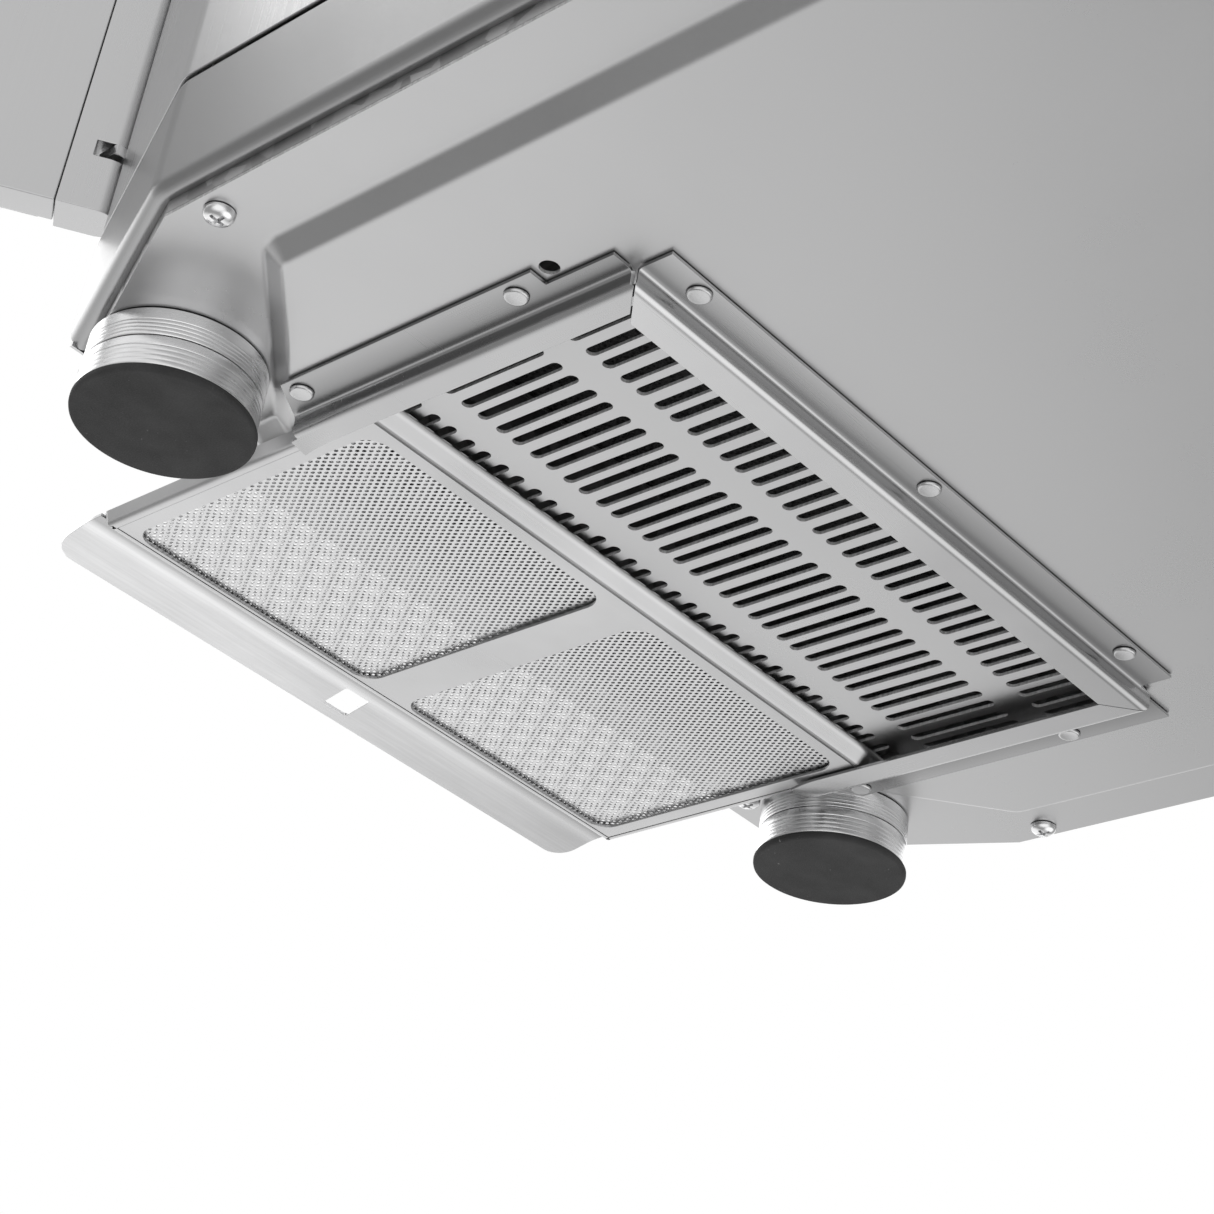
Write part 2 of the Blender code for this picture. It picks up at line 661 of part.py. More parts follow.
def handle(axis, x):
    """A round bar on two posts, on the door's free side."""
    y, radius, count = -DOOR_HALF_THICK - GAP, 5.0, 10
    low, high = HANDLE_Z
    path = rounded([(y, low), (y - HANDLE_REACH, low), (y - HANDLE_REACH, high), (y, high)], 9.0, 4)
    loops = []
    for i, point in enumerate(path):
        along = (path[min(i + 1, len(path) - 1)] - path[max(i - 1, 0)]).normalized()
        side = Vector((-along.y, along.x))
        ring = []
        for step in range(count):
            angle = 2 * pi * step / count
            offset = point + side * (radius * sin(angle))
            ring.append((x + radius * cos(angle), offset.x, offset.y))
        loops.append(ring)
    solid("door_handle", loft(loops), BRIGHT, parent=axis, smooth=True)


def hinge_tabs():
    """Two tabs on the front frame, each with a pin that the door's stile turns on."""
    for name, z in zip(("lower", "upper"), HINGE_TABS_Z):
        tab_front = HINGE_Y - 4.5
        tab = plate([(HINGE_X - 5, FRONT_Y - GAP), (HINGE_X - 5, tab_front + 3), (HINGE_X - 2, tab_front),
                     (HINGE_X + 2, tab_front), (HINGE_X + 5, tab_front + 3), (HINGE_X + 5, FRONT_Y - GAP)],
                    [], z - 2.0, z + 2.0)
        made = solid(f"hinge_tab_{name}", tab, BRIGHT)
        pin = turned([(0, z - 11), (2.2, z - 11), (2.2, z + 11), (0, z + 11)], (HINGE_X, HINGE_Y, 0), 12)
        join(made, pin)


# --- inside ----------------------------------------------------------------------------------------

def intake_duct():
    """A square funnel from the slots up to the shelf."""
    section = [(0.0, TRAY_Z + SHEET + GAP), (0.0, SHELF_Z - GAP), (SHEET, SHELF_Z - GAP),
               (SHEET, TRAY_Z + SHEET + GAP)]
    outline = mirrored([(131.0, -229.5), (140.0, -220.5), (140.0, -76.5)])
    solid("intake_duct", swept(section, outline), GALVANISED)


def filter_shelf():
    """The plate that carries the cassette, over the duct. It lies level with the opening's sill."""
    outline = [(x, min(max(y, SHELF_Y[0]), SHELF_Y[1])) for x, y in inset(BODY, 8.0)]
    hole = rectangle(-138, 138, -228, -82, 6.0)
    solid("filter_shelf", plate(outline, [hole], SHELF_Z, SHELF_Z + SHEET), GALVANISED)


def cassette():
    """A framed block of carbon foam that slides out through the door opening."""
    z0, z1 = CASSETTE_Z
    y0, y1 = CASSETTE_Y
    wall, lip, clear = 2.0, 9.0, 2.0 + GAP
    section = [(0.0, z0), (lip, z0), (lip, z0 + wall), (wall, z0 + wall), (wall, z1), (0.0, z1)]
    outline = rectangle(-CASSETTE_HALF, CASSETTE_HALF, y0, y1)
    solid("cassette_frame", swept(section, outline), BLACK_PLASTIC, (0, y0, z0))
    foam = inset(outline, clear)
    solid("cassette_foam", plate(foam, [], z0 + clear, z1 - 1), CARBON, (0, y0, z0))


def scroll_line(radius_add, count=20):
    """The blower scroll seen from +X: a spiral that opens into a duct towards the back."""
    points = []
    for i in range(count + 1):
        angle = radians(80) + radians(280) * i / count
        radius = WHEEL_RADIUS + 5 + 32 * (1 - i / count) + radius_add
        points.append((FAN_Y + radius * cos(angle), FAN_Z + radius * sin(angle)))
    return points


def blower():
    """A scroll with an inlet on each side and an outlet duct towards the back."""
    end_y = BACK_Y - SHEET - 8
    wall = 1.5
    low, high = OUTLET_Z
    outline = [(end_y, high)] + scroll_line(0.0) + [(end_y, low)]
    outline = [(y, min(z, high)) for y, z in outline]
    made = solid("blower_scroll", plate(outline, [], -SCROLL_HALF, SCROLL_HALF, "YZ"), GALVANISED)
    cavity = [(end_y + 20, high - wall)] + scroll_line(-wall) + [(end_y + 20, low + wall)]
    cavity = [(y, min(z, high - wall)) for y, z in cavity]
    cut(made, plate(cavity, [], wall - SCROLL_HALF, SCROLL_HALF - wall, "YZ"))
    end = SCROLL_HALF + 9
    cut(made, turned([(0, -end), (56, -end), (56, end), (0, end)], (0, FAN_Y, FAN_Z), 32, "X"))


def wheel():
    """A drum of blades on a disc, with the shaft that the motor drives."""
    radius = WHEEL_RADIUS
    centre = (0, FAN_Y, FAN_Z)
    disc = [(0, -1.5), (radius, -1.5), (radius, 1.5), (10, 1.5), (10, 14), (5, 14), (5, 88), (0, 88)]
    made = solid("blower_wheel", turned(disc, centre, 32, "X"), GALVANISED, centre)
    for number in range(BLADES):
        start = 2 * pi * (number + 0.3) / BLADES
        line = [(58.0, start), (66.0, start + 0.05), (radius - 2, start + 0.15)]
        line += [(r, angle + 1.6 / r) for r, angle in reversed(line)]
        shape = [(FAN_Y + r * cos(angle), FAN_Z + r * sin(angle)) for r, angle in line]
        join(made, plate(shape, [], -WHEEL_HALF, WHEEL_HALF, "YZ"))
    for side in (-1, 1):
        low, high = sorted((side * (WHEEL_HALF - 2.5), side * (WHEEL_HALF + 1)))
        ring = [(radius - 9, low), (radius, low), (radius, high), (radius - 9, high)]
        join(made, turned(ring, centre, 32, "X"))


def motor():
    """A motor on a three-armed plate over one of the blower's inlets."""
    start = SCROLL_HALF + GAP
    arms = []
    for arm in range(3):
        angle = 2 * pi * arm / 3 + pi / 2
        for spread, radius in ((-0.75, 40.0), (-0.13, 66.0), (0.13, 66.0), (0.75, 40.0)):
            arms.append((FAN_Y + radius * cos(angle + spread), FAN_Z + radius * sin(angle + spread)))
    bracket = plate(arms, [circle(FAN_Y, FAN_Z, 8.0)], start, start + 2, "YZ")
    solid("motor_bracket", bracket, GALVANISED)
    face = start + 2 + GAP
    body = [(5.8, face), (30, face), (36, face + 4), (36, face + 52), (30, face + 58), (0, face + 58),
            (0, face + 40), (5.8, face + 40)]
    solid("blower_motor", turned(body, (0, FAN_Y, FAN_Z), 24, "X"), MOTOR_PAINT, smooth=True)


def speed_knob():
    at = (KNOB_X, FRONT_Y, CONTROL_Z)
    knob = [(3.2, -1.0), (15.0, -1.0), (16.0, -2.5), (14.0, -17.0), (12.5, -18.5), (0, -18.5), (0, -6.0),
            (3.2, -6.0)]
    made = solid("speed_knob", turned(knob, at, 24, "Y"), BLACK_PLASTIC, at, smooth=True)
    cut(made, box(KNOB_X - 0.8, KNOB_X + 0.8, FRONT_Y - 22, FRONT_Y - 17.6, CONTROL_Z + 2, CONTROL_Z + 20))
    inner = SHEET + GAP
    control = [(2.9, -5.6), (2.9, inner), (11.0, inner), (11.0, 14.0), (0, 14.0), (0, -5.6)]
    solid("speed_control", turned(control, at, 16, "Y"), BLACK_PLASTIC)


def power_switch():
    """A rocker in a square body that stands through the skirt."""
    x, z = SWITCH_X, CONTROL_Z
    rim = rectangle(x - 8.5, x + 8.5, z - 11.5, z + 11.5, 1.5)
    body = solid("switch_body", plate(rim, [], FRONT_Y - 2.0, FRONT_Y - GAP, "XZ"), BLACK_PLASTIC)
    join(body, box(x - 6.2, x + 6.2, FRONT_Y - 1, FRONT_Y + 18, z - 9.2, z + 9.2))
    cut(body, box(x - 5.2, x + 5.2, FRONT_Y - 6, FRONT_Y + 8, z - 8.2, z + 8.2))
    rocker = [(FRONT_Y + 3, z - 7.0), (FRONT_Y - 1.6, z - 7.4), (FRONT_Y - 2.2, z),
              (FRONT_Y - 5.2, z + 6.9), (FRONT_Y + 1.0, z + 7.0), (FRONT_Y + 6.0, z)]
    at = (x, FRONT_Y + 1.5, z)
    solid("power_rocker", plate(rocker, [], x - 4.8, x + 4.8, "YZ"), BLACK_PLASTIC, at)


def mains_inlet():
    """An open socket in the back of the skirt, with a flange outside."""
    x, z = INLET_X, CONTROL_Z
    socket = box(x - 14, x + 14, BACK_Y - 24, BACK_Y + 1, z - 10, z + 10)
    made = solid("mains_inlet", socket, BLACK_PLASTIC)
    flange = rectangle(x - 17, x + 17, z - 13, z + 13, 3.0)
    join(made, plate(flange, [], BACK_Y + GAP, BACK_Y + 2.5, "XZ"))
    cut(made, box(x - 12, x + 12, BACK_Y - 15, BACK_Y + 9, z - 8, z + 8))


def main():
    clear_scene()
    base_pan()
    base_frame()
    base_skirt()
    for side in (-1, 1):
        side_rail(side)
        side_panel(side)
    back_rail()
    rivets()
    pan_screws()
    for number, (x, y) in enumerate(foot_places(), 1):
        foot(number, x, y)
    grease_filter()
    rear_panel()
    top_cover()
    door_frame()
    outlet_grille()
    front_door()
    hinge_tabs()
    intake_duct()
    filter_shelf()
    cassette()
    blower()
    wheel()
    motor()
    speed_knob()
    power_switch()
    mains_inlet()


main()
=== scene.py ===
# Looks for the free-standing extractor unit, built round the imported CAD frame.
# Lengths here are in millimetres in the frame's axes, and piece() turns them into metres.

from math import cos, pi, radians, sin

import bmesh
import bpy
from mathutils import Matrix, Vector


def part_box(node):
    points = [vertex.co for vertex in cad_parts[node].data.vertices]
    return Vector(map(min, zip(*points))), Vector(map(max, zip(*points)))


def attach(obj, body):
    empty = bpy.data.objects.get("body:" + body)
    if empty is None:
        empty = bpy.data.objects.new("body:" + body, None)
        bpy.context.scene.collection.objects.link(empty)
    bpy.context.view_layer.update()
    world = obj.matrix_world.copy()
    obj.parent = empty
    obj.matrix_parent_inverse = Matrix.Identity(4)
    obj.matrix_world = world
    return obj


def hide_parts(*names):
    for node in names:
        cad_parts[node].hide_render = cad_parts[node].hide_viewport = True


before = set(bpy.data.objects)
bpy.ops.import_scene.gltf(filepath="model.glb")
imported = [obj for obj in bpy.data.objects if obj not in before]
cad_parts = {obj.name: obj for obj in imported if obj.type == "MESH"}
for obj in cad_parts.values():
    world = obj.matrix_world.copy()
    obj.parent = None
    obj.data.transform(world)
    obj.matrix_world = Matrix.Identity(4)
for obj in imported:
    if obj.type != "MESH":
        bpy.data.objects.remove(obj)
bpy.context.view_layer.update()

MM = 0.001
SHARP = radians(40)
SHEET = 1.2
GAP = 0.3


def box_mm(node):
    low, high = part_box(node)
    return low / MM, high / MM


PAN_LOW, PAN_HIGH = box_mm("base_pan")
SKIRT_LOW, SKIRT_HIGH = box_mm("base_skirt")
FILTER_LOW, FILTER_HIGH = box_mm("filter_frame")
MESH_LOW, MESH_HIGH = box_mm("filter_mesh_right")
GRIP_LOW, GRIP_HIGH = box_mm("filter_grip")

HALF_WIDTH = 231.0
BACK_Y = SKIRT_HIGH.y
FRONT_Y = SKIRT_LOW.y
TAPER_Y = -194.0
FRONT_HALF = 195.0

TRAY_Z = PAN_LOW.z
MARGIN_Z = 25.0
STEP = 6.4
TRAY_HALF = 194.5
TRAY_NOSE_HALF = 130.0
TRAY_NOSE_Y = 252.0
TRAY_SHOULDER_Y = 172.7
TRAY_CORNER = 3.0
TRAY_FOLD = 1.3
PAN_TAPER = 187.6 / 225.0
SCREW_HOLE = 2.9
FOOT_HOLE = 8.0
SPARE_HOLE = (151.4, -103.6, 3.25)

SLOT_ROWS = (-100.85, -153.5, -206.1)
SLOT_LENGTH = 41.8
SLOT_WIDTH = 4.3
SLOT_PAIRS = 17
PAIR_PITCH = 16.1
PAIR_SPACING = 7.5
SLOT_SHIFT = -2.3

MESH_REACH = 4.0
MESH_SHEET = 0.25
MESH_LAYERS = {"lower": (1.75, 0.25, 0.50, 0.66, 2.44, 4.08), "upper": (3.3, -0.3, 0.58, 0.7, 3.1, 3.3)}
WINDOW_CORNER = 8.0
FRAME_SHEET = 0.8

GRIP_CORNER = 9.0
GRIP_FLAT = 2.0
GRIP_BEND = 10.4
HOOK_HOLE = (-6.0, 6.0, 5.0, 17.5)

GRILLE_BORDER = 10.0
GRILLE_BARS = 9
GRILLE_CORNER = 4.0

INLET_HOLE = (-164.3, -135.7, 42.7, 63.3)
SWITCH_HOLE = (121.4, 134.6, 43.4, 62.6)

RAIL_WEB = 138.4
RAIL_FLANGE = 154.0
RAIL_LIPS = {-1: 126.3, 1: 129.3}
RAIL_BACK_Y = -67.5
RAIL_WEB_Y = -80.8
RAIL_LIP_Y = -93.2
RAIL_FRONT_Y = -226.0
RAIL_TAB_Y = (-218.0, -229.0)
RAIL_TAB_FLARE = 1.4
RAIL_TOP = TRAY_Z - GAP - SHEET / 2
RAIL_BOTTOM = 11.2 + SHEET / 2
RAIL_FOLD = 2.4
RAIL_BEVEL = 0.2
RAIL_NOTCH = (147.2, 160.0, -108.6, -78.0, 15.0, 22.0)
BACK_RAIL_FLANGE = {-1: -131.2, 1: 138.4}

FOOT_RADIUS = 29.2
PAD_RADIUS = 30.0
PAD_TOP = 3.0
BARREL_Z = (3.3, 14.2)
COLLAR_Z = (14.4, MARGIN_Z - GAP)
STEM_RADIUS = 7.0
STEM_TOP = 62.0
GROOVE = ((0.0, 0.14), (0.14, 0.06), (0.3, 0.01), (0.5, 0.0), (0.7, 0.01), (0.86, 0.06))


# --- shapes ------------------------------------------------------------------------------------------

def rectangle(x0, x1, y0, y1, radius=0.0, steps=6):
    if not radius:
        return [(x0, y0), (x1, y0), (x1, y1), (x0, y1)]
    middles = ((x1 - radius, y0 + radius), (x1 - radius, y1 - radius),
               (x0 + radius, y1 - radius), (x0 + radius, y0 + radius))
    points = []
    for quarter, (cx, cy) in enumerate(middles):
        for step in range(steps + 1):
            angle = (quarter - 1) * pi / 2 + step * pi / 2 / steps
            points.append((cx + radius * cos(angle), cy + radius * sin(angle)))
    return points


def circle(x, y, radius, count=24):
    angles = [2 * pi * i / count for i in range(count)]
    return [(x + radius * cos(angle), y + radius * sin(angle)) for angle in angles]


def slot(x, y, width, length, steps=7):
    half, run = width / 2, length / 2 - width / 2
    angles = [pi * i / steps for i in range(steps + 1)]
    end = [(x + half * cos(angle), y + run + half * sin(angle)) for angle in angles]
    return end + [(2 * x - a, 2 * y - b) for a, b in end]


def mirrored(points):
    return points + [(-x, y) for x, y in reversed(points)]


def inset(outline, distance):
    """Moves each side of an anticlockwise outline inwards by a distance."""
    moved = []
    for i, (x, y) in enumerate(outline):
        px, py = outline[i - 1]
        nx, ny = outline[(i + 1) % len(outline)]
        a = Vector((x - px, y - py)).normalized()
        b = Vector((nx - x, ny - y)).normalized()
        normal_a, normal_b = Vector((-a.y, a.x)), Vector((-b.y, b.x))
        mitre = (normal_a + normal_b) / (1 + normal_a.dot(normal_b))
        moved.append((x + mitre.x * distance, y + mitre.y * distance))
    return moved


def softened(outline, radius, steps=5):
    """Rounds every corner of a closed outline."""
    points = []
    for i, corner in enumerate(outline):
        corner = Vector(corner)
        to_start = (Vector(outline[i - 1]) - corner).normalized()
        to_end = (Vector(outline[(i + 1) % len(outline)]) - corner).normalized()
        start, end = corner + to_start * radius, corner + to_end * radius
        for step in range(steps + 1):
            t = step / steps
            points.append(tuple(start * (1 - t) ** 2 + corner * 2 * t * (1 - t) + end * t ** 2))
    return points


def rounded(points, radius, steps=5):
    """Rounds the inner corners of an open line."""
    path = [Vector(points[0])]
    for before, corner, after in zip(points, points[1:], points[2:]):
        corner = Vector(corner)
        to_start = (Vector(before) - corner).normalized()
        to_end = (Vector(after) - corner).normalized()
        start, end = corner + to_start * radius, corner + to_end * radius
        for step in range(steps + 1):
            t = step / steps
            path.append(start * (1 - t) ** 2 + corner * 2 * t * (1 - t) + end * t ** 2)
    path.append(Vector(points[-1]))
    return path


def folded(points, radius=2.2, thick=SHEET, steps=5):
    """The closed outline of a folded sheet, from the line through the middle of its thickness."""
    path = rounded(points, radius, steps)
    left, right = [], []
    for i, point in enumerate(path):
        before = (point - path[i - 1]).normalized() if i else None
        after = (path[i + 1] - point).normalized() if i + 1 < len(path) else None
        along = ((before or after) + (after or before)).normalized()
        side = Vector((-along.y, along.x)) * (thick / 2) / max(0.3, along.dot(before or after))
        left.append(tuple(point + side))
        right.append(tuple(point - side))
    return left + right[::-1]


def loop_edges(bm, points, height, plane="XY"):
    """Draws a closed line of points in an XY or XZ plane, and gives its vertices and edges."""
    upright = plane == "XZ"
    verts = [bm.verts.new((a, height, b) if upright else (a, b, height)) for a, b in points]
    edges = [bm.edges.new((verts[i - 1], verts[i])) for i in range(len(verts))]
    return verts, edges


def fill(bm, edges):
    bmesh.ops.triangle_fill(bm, use_beauty=True, edges=edges)


def thicken(bm, move):
    """Turns every face into a sheet by extruding it along a vector."""
    made = bmesh.ops.extrude_face_region(bm, geom=bm.faces[:])
    verts = [item for item in made["geom"] if isinstance(item, bmesh.types.BMVert)]
    bmesh.ops.translate(bm, verts=verts, vec=move)


def plate(outline, holes, low, high, plane="XY"):
    """A flat sheet with holes, between two heights across its plane."""
    bm = bmesh.new()
    edges = []
    for points in [outline, *holes]:
        edges += loop_edges(bm, points, low, plane)[1]
    fill(bm, edges)
    thicken(bm, Vector((0, high - low, 0) if plane == "XZ" else (0, 0, high - low)))
    return bm


def skin(bm, one, two):
    """Joins two rings of vertices with faces."""
    for i in range(len(one)):
        bm.faces.new((one[i - 1], one[i], two[i], two[i - 1]))


def loft(loops, sheet=False):
    """Joins rings of points one after another and caps the ends; a sheet's end is capped in strips."""
    bm = bmesh.new()
    rings = [[bm.verts.new(p) for p in points] for points in loops]
    for one, two in zip(rings, rings[1:]):
        skin(bm, one, two)
    for ring in (rings[0], rings[-1]):
        if sheet:
            for i in range(len(ring) // 2 - 1):
                bm.faces.new((ring[i], ring[i + 1], ring[-i - 2], ring[-i - 1]))
        else:
            bm.faces.new(ring)
    return bm


def box(x0, x1, y0, y1, z0, z1):
    corners = rectangle(x0, x1, y0, y1)
    return loft([[(x, y, z) for x, y in corners] for z in (z0, z1)])


def turned(profile, centre, count):
    """Turns a closed profile of (radius, height) points about an upright axis through centre."""
    bm = bmesh.new()
    rings = []
    for radius, height in profile:
        ring = []
        for i in range(1 if radius == 0 else count):
            angle = 2 * pi * i / count
            at = Vector((radius * cos(angle), radius * sin(angle), height))
            ring.append(bm.verts.new(Vector(centre) + at))
        rings.append(ring)
    for one, two in zip(rings, rings[1:] + rings[:1]):
        for i in range(count if len(one) + len(two) > 2 else 0):
            face = [one[i - 1], one[i]] if len(one) > 1 else [one[0]]
            face += [two[i], two[i - 1]] if len(two) > 1 else [two[0]]
            bm.faces.new(face)
    return bm


def swept_open(section, path):
    """Runs a closed section of (depth, height) points along an open line, with mitred corners."""
    path = [Vector(point) for point in path]
    loops = []
    for i, point in enumerate(path):
        before = (point - path[i - 1]).normalized() if i else None
        after = (path[i + 1] - point).normalized() if i + 1 < len(path) else None
        one, two = before or after, after or before
        normal = Vector((-one.y - two.y, one.x + two.x)) / (1 + one.dot(two))
        loops.append([(point.x + normal.x * depth, point.y + normal.y * depth, z) for depth, z in section])
    return loft(loops, sheet=True)


def sliced(bm, places, axis):
    """Cuts a mesh's faces along planes across an axis, so that it can be bent there."""
    normal = [0, 0, 0]
    normal[axis] = 1
    for place in places:
        at = [0, 0, 0]
        at[axis] = place
        bmesh.ops.bisect_plane(bm, geom=bm.verts[:] + bm.edges[:] + bm.faces[:], plane_co=at,
                               plane_no=normal, dist=1e-4)


# --- materials ---------------------------------------------------------------------------------------

class Finish:
    """A material whose nodes are added with short calls."""

    def __init__(self, name, roughness, metallic, **sockets):
        self.material = bpy.data.materials.new(name)
        self.material.use_nodes = True
        self.tree = self.material.node_tree
        self.shader = self.tree.nodes["Principled BSDF"]
        self.shader.inputs["Roughness"].default_value = roughness
        self.shader.inputs["Metallic"].default_value = metallic
        for socket, value in sockets.items():
            self.shader.inputs[socket.replace("_", " ")].default_value = value
        self.place = self.tree.nodes.new("ShaderNodeTexCoord").outputs["Object"]

    def node(self, kind, settings=None, **inputs):
        made = self.tree.nodes.new("ShaderNode" + kind)
        for key, value in (settings or {}).items():
            setattr(made, key, value)
        for name, value in inputs.items():
            socket = made.inputs[int(name[1:])] if name[0] == "i" and name[1:].isdigit() \
                else made.inputs[name.replace("_", " ")]
            if isinstance(value, bpy.types.NodeSocket):
                self.tree.links.new(value, socket)
            else:
                socket.default_value = value
        return made

    def axis(self, index):
        return self.node("SeparateXYZ", Vector=self.place).outputs[index]

    def noise(self, scale, detail=3.0, rough=0.55, stretch=(1, 1, 1), turn=(0, 0, 0)):
        """Noise with a scale per metre, stretched along the axes, from 0 to 1."""
        spread = self.node("Mapping", Vector=self.place, Scale=stretch, Rotation=turn)
        made = self.node("TexNoise", Vector=spread.outputs[0], Scale=scale, Detail=detail, Roughness=rough)
        return made.outputs["Fac"]

    def ramp(self, value, low, high, to_low=0.0, to_high=1.0):
        made = self.node("MapRange", {"clamp": True}, Value=value)
        for name, number in (("From Min", low), ("From Max", high), ("To Min", to_low), ("To Max", to_high)):
            made.inputs[name].default_value = number
        return made.outputs[0]

    def math(self, operation, one, two):
        return self.node("Math", {"operation": operation}, i0=one, i1=two).outputs[0]

    def mix(self, factor, one, two):
        made = self.tree.nodes.new("ShaderNodeMix")
        made.data_type = "RGBA"
        for socket, value in ((made.inputs[0], factor), (made.inputs[6], one), (made.inputs[7], two)):
            if isinstance(value, bpy.types.NodeSocket):
                self.tree.links.new(value, socket)
            elif isinstance(value, float):
                socket.default_value = value
            else:
                socket.default_value = (*value, 1.0)
        return made.outputs[2]

    def colour(self, value):
        self.tree.links.new(value, self.shader.inputs["Base Color"])

    def roughness(self, value):
        self.tree.links.new(value, self.shader.inputs["Roughness"])

    def bump(self, height, distance, strength=1.0):
        made = self.node("Bump", Height=height, Distance=distance, Strength=strength)
        self.tree.links.new(made.outputs[0], self.shader.inputs["Normal"])


def grey(level):
    return (level, level, level * 1.005)


def steel(name, level, rough, grain, bump=0.00002, smudge=0.08, streak=0.05, scratch=0.0, painted_side_shade=0.0,
          hollow=None):
    """Stainless sheet: rolling grain along one direction, soft smudges, and fine scratches.
    Painted side shade makes it darker towards -X. A hollow is an axis and the place of a fold across it,
    and painted shade lies in that fold's corner."""
    finish = Finish(name, rough, 1.0)
    lines = finish.noise(1.0, 4.0, 0.65, grain)
    smudges = finish.noise(9.0, 4.0, 0.6)
    mottle = finish.noise(1500.0, 2.0, 0.6)
    tone = finish.math("ADD", finish.ramp(lines, 0.25, 0.75, -streak, streak),
                       finish.ramp(smudges, 0.3, 0.7, -smudge, smudge))
    tone = finish.math("ADD", tone, 0.5)
    # Painted side shade: the colour darkens towards -X.
    if painted_side_shade:
        across = finish.axis(0)
        tone = finish.math("ADD", tone, finish.ramp(across, -0.15, 0.15, -painted_side_shade, painted_side_shade * 0.3))
    shade = finish.mix(tone, grey(level * 0.8), grey(level * 1.2))
    # Painted shade along the sheet beside the fold, darkest a few millimetres from it.
    if hollow:
        axis, start = hollow
        away = finish.math("SUBTRACT", finish.math("ABSOLUTE", finish.axis(axis), 0.0), abs(start) * MM)
        away = finish.math("MULTIPLY", away, 1.0 if start > 0 else -1.0)
        painted_fold_shade = finish.math("MULTIPLY", finish.ramp(away, 0.0004, 0.003),
                              finish.ramp(away, 0.004, 0.014, 0.8, 0.35))
        shade = finish.mix(painted_fold_shade, shade, grey(level * 0.42))
    finish.colour(shade)
    worn = finish.math("ADD", finish.ramp(lines, 0.25, 0.75, -streak, streak),
                       finish.ramp(smudges, 0.3, 0.75, rough - 0.04, rough + 0.07))
    height = finish.math("ADD", lines, finish.math("MULTIPLY", mottle, 0.5))
    if scratch:
        fine = finish.noise(1.0, 1.0, 0.5, (14.0, 1300.0, 700.0), (0.3, 0.2, 0.55))
        marks = finish.ramp(fine, 0.74, 0.78)
        worn = finish.math("ADD", worn, finish.math("MULTIPLY", marks, scratch))
        height = finish.math("SUBTRACT", height, finish.math("MULTIPLY", marks, 1.5))
    finish.roughness(worn)
    finish.bump(height, bump)
    return finish.material


ALONG_X = (9.0, 1600.0, 1600.0)
ALONG_Y = (1600.0, 9.0, 1600.0)
ALONG_Z = (1600.0, 1600.0, 9.0)
NO_GRAIN = (700.0, 700.0, 700.0)


def cut_edge():
    """The sheared walls of the slots: dull torn metal with brighter patches."""
    finish = Finish("steel_cut", 0.55, 0.35)
    torn = finish.noise(1.0, 3.0, 0.6, (900.0, 900.0, 260.0))
    finish.colour(finish.mix(finish.ramp(torn, 0.3, 0.7), grey(0.34), grey(0.60)))
    finish.roughness(finish.ramp(torn, 0.3, 0.7, 0.42, 0.7))
    finish.bump(torn, 0.00004)
    return finish.material


def brushed_grip():
    """The grip's sheet: long brush marks, painted shade in the hollow beside the filter frame, and painted
    shade that makes the -X end darker."""
    finish = Finish("steel_grip", 0.32, 1.0)
    marks = finish.noise(1.0, 4.0, 0.7, (22.0, 900.0, 900.0))
    clouds = finish.noise(26.0, 4.0, 0.6, (0.5, 1.6, 1.0))
    # Painted shade: the -X end is drawn darker.
    painted_end_shade = finish.ramp(finish.axis(0), -0.09, 0.03, 0.42, 0.0)
    # Painted shade in the hollow beside the filter frame, darkest next to the frame.
    hollow = finish.math("SUBTRACT", finish.axis(1), (FILTER_LOW.y - 8.2) * MM)
    painted_fold_shade = finish.ramp(hollow, 0.0, 0.0042, 0.0, 0.62)
    tone = finish.math("ADD", finish.ramp(marks, 0.3, 0.7, 0.1, 0.5), finish.ramp(clouds, 0.3, 0.7, 0.0, 0.5))
    bright = finish.mix(painted_end_shade, finish.mix(tone, grey(0.70), grey(0.96)), grey(0.40))
    finish.colour(finish.mix(painted_fold_shade, bright, grey(0.16)))
    finish.roughness(finish.ramp(clouds, 0.3, 0.7, 0.27, 0.38))
    finish.bump(marks, 0.00001)
    return finish.material


def rubber():
    finish = Finish("rubber_black", 0.8, 0.0, Specular_IOR_Level=0.3)
    fine = finish.noise(1900.0, 3.0)
    patches = finish.noise(60.0, 4.0)
    base = finish.mix(finish.ramp(patches, 0.35, 0.7), grey(0.030), grey(0.044))
    dust = finish.math("MULTIPLY", finish.ramp(finish.noise(520.0, 2.0), 0.69, 0.76),
                       finish.ramp(finish.noise(45.0, 1.0), 0.5, 0.6))
    finish.colour(finish.mix(dust, base, grey(0.16)))
    finish.roughness(finish.ramp(fine, 0.3, 0.7, 0.7, 0.95))
    finish.bump(fine, 0.00012)
    return finish.material


def aluminium():
    finish = Finish("aluminium_turned", 0.2, 1.0)
    rings = finish.noise(1.0, 3.0, 0.6, (20.0, 20.0, 4200.0))
    smudges = finish.noise(55.0, 4.0)
    finish.colour(finish.mix(finish.ramp(smudges, 0.3, 0.75), grey(0.86), grey(0.68)))
    finish.roughness(finish.math("ADD", finish.ramp(rings, 0.3, 0.7, 0.2, 0.3),
                                 finish.ramp(smudges, 0.4, 0.8, 0.0, 0.12)))
    finish.bump(rings, 0.00003)
    return finish.material


def galvanised():
    finish = Finish("galvanised_sheet", 0.42, 1.0)
    cells = finish.node("TexVoronoi", Vector=finish.place, Scale=130.0)
    tone = finish.node("SeparateColor", Color=cells.outputs["Color"]).outputs[0]
    fine = finish.noise(900.0)
    finish.colour(finish.mix(tone, grey(0.36), grey(0.56)))
    finish.roughness(finish.ramp(tone, 0.0, 1.0, 0.34, 0.54))
    finish.bump(fine, 0.00003)
    return finish.material


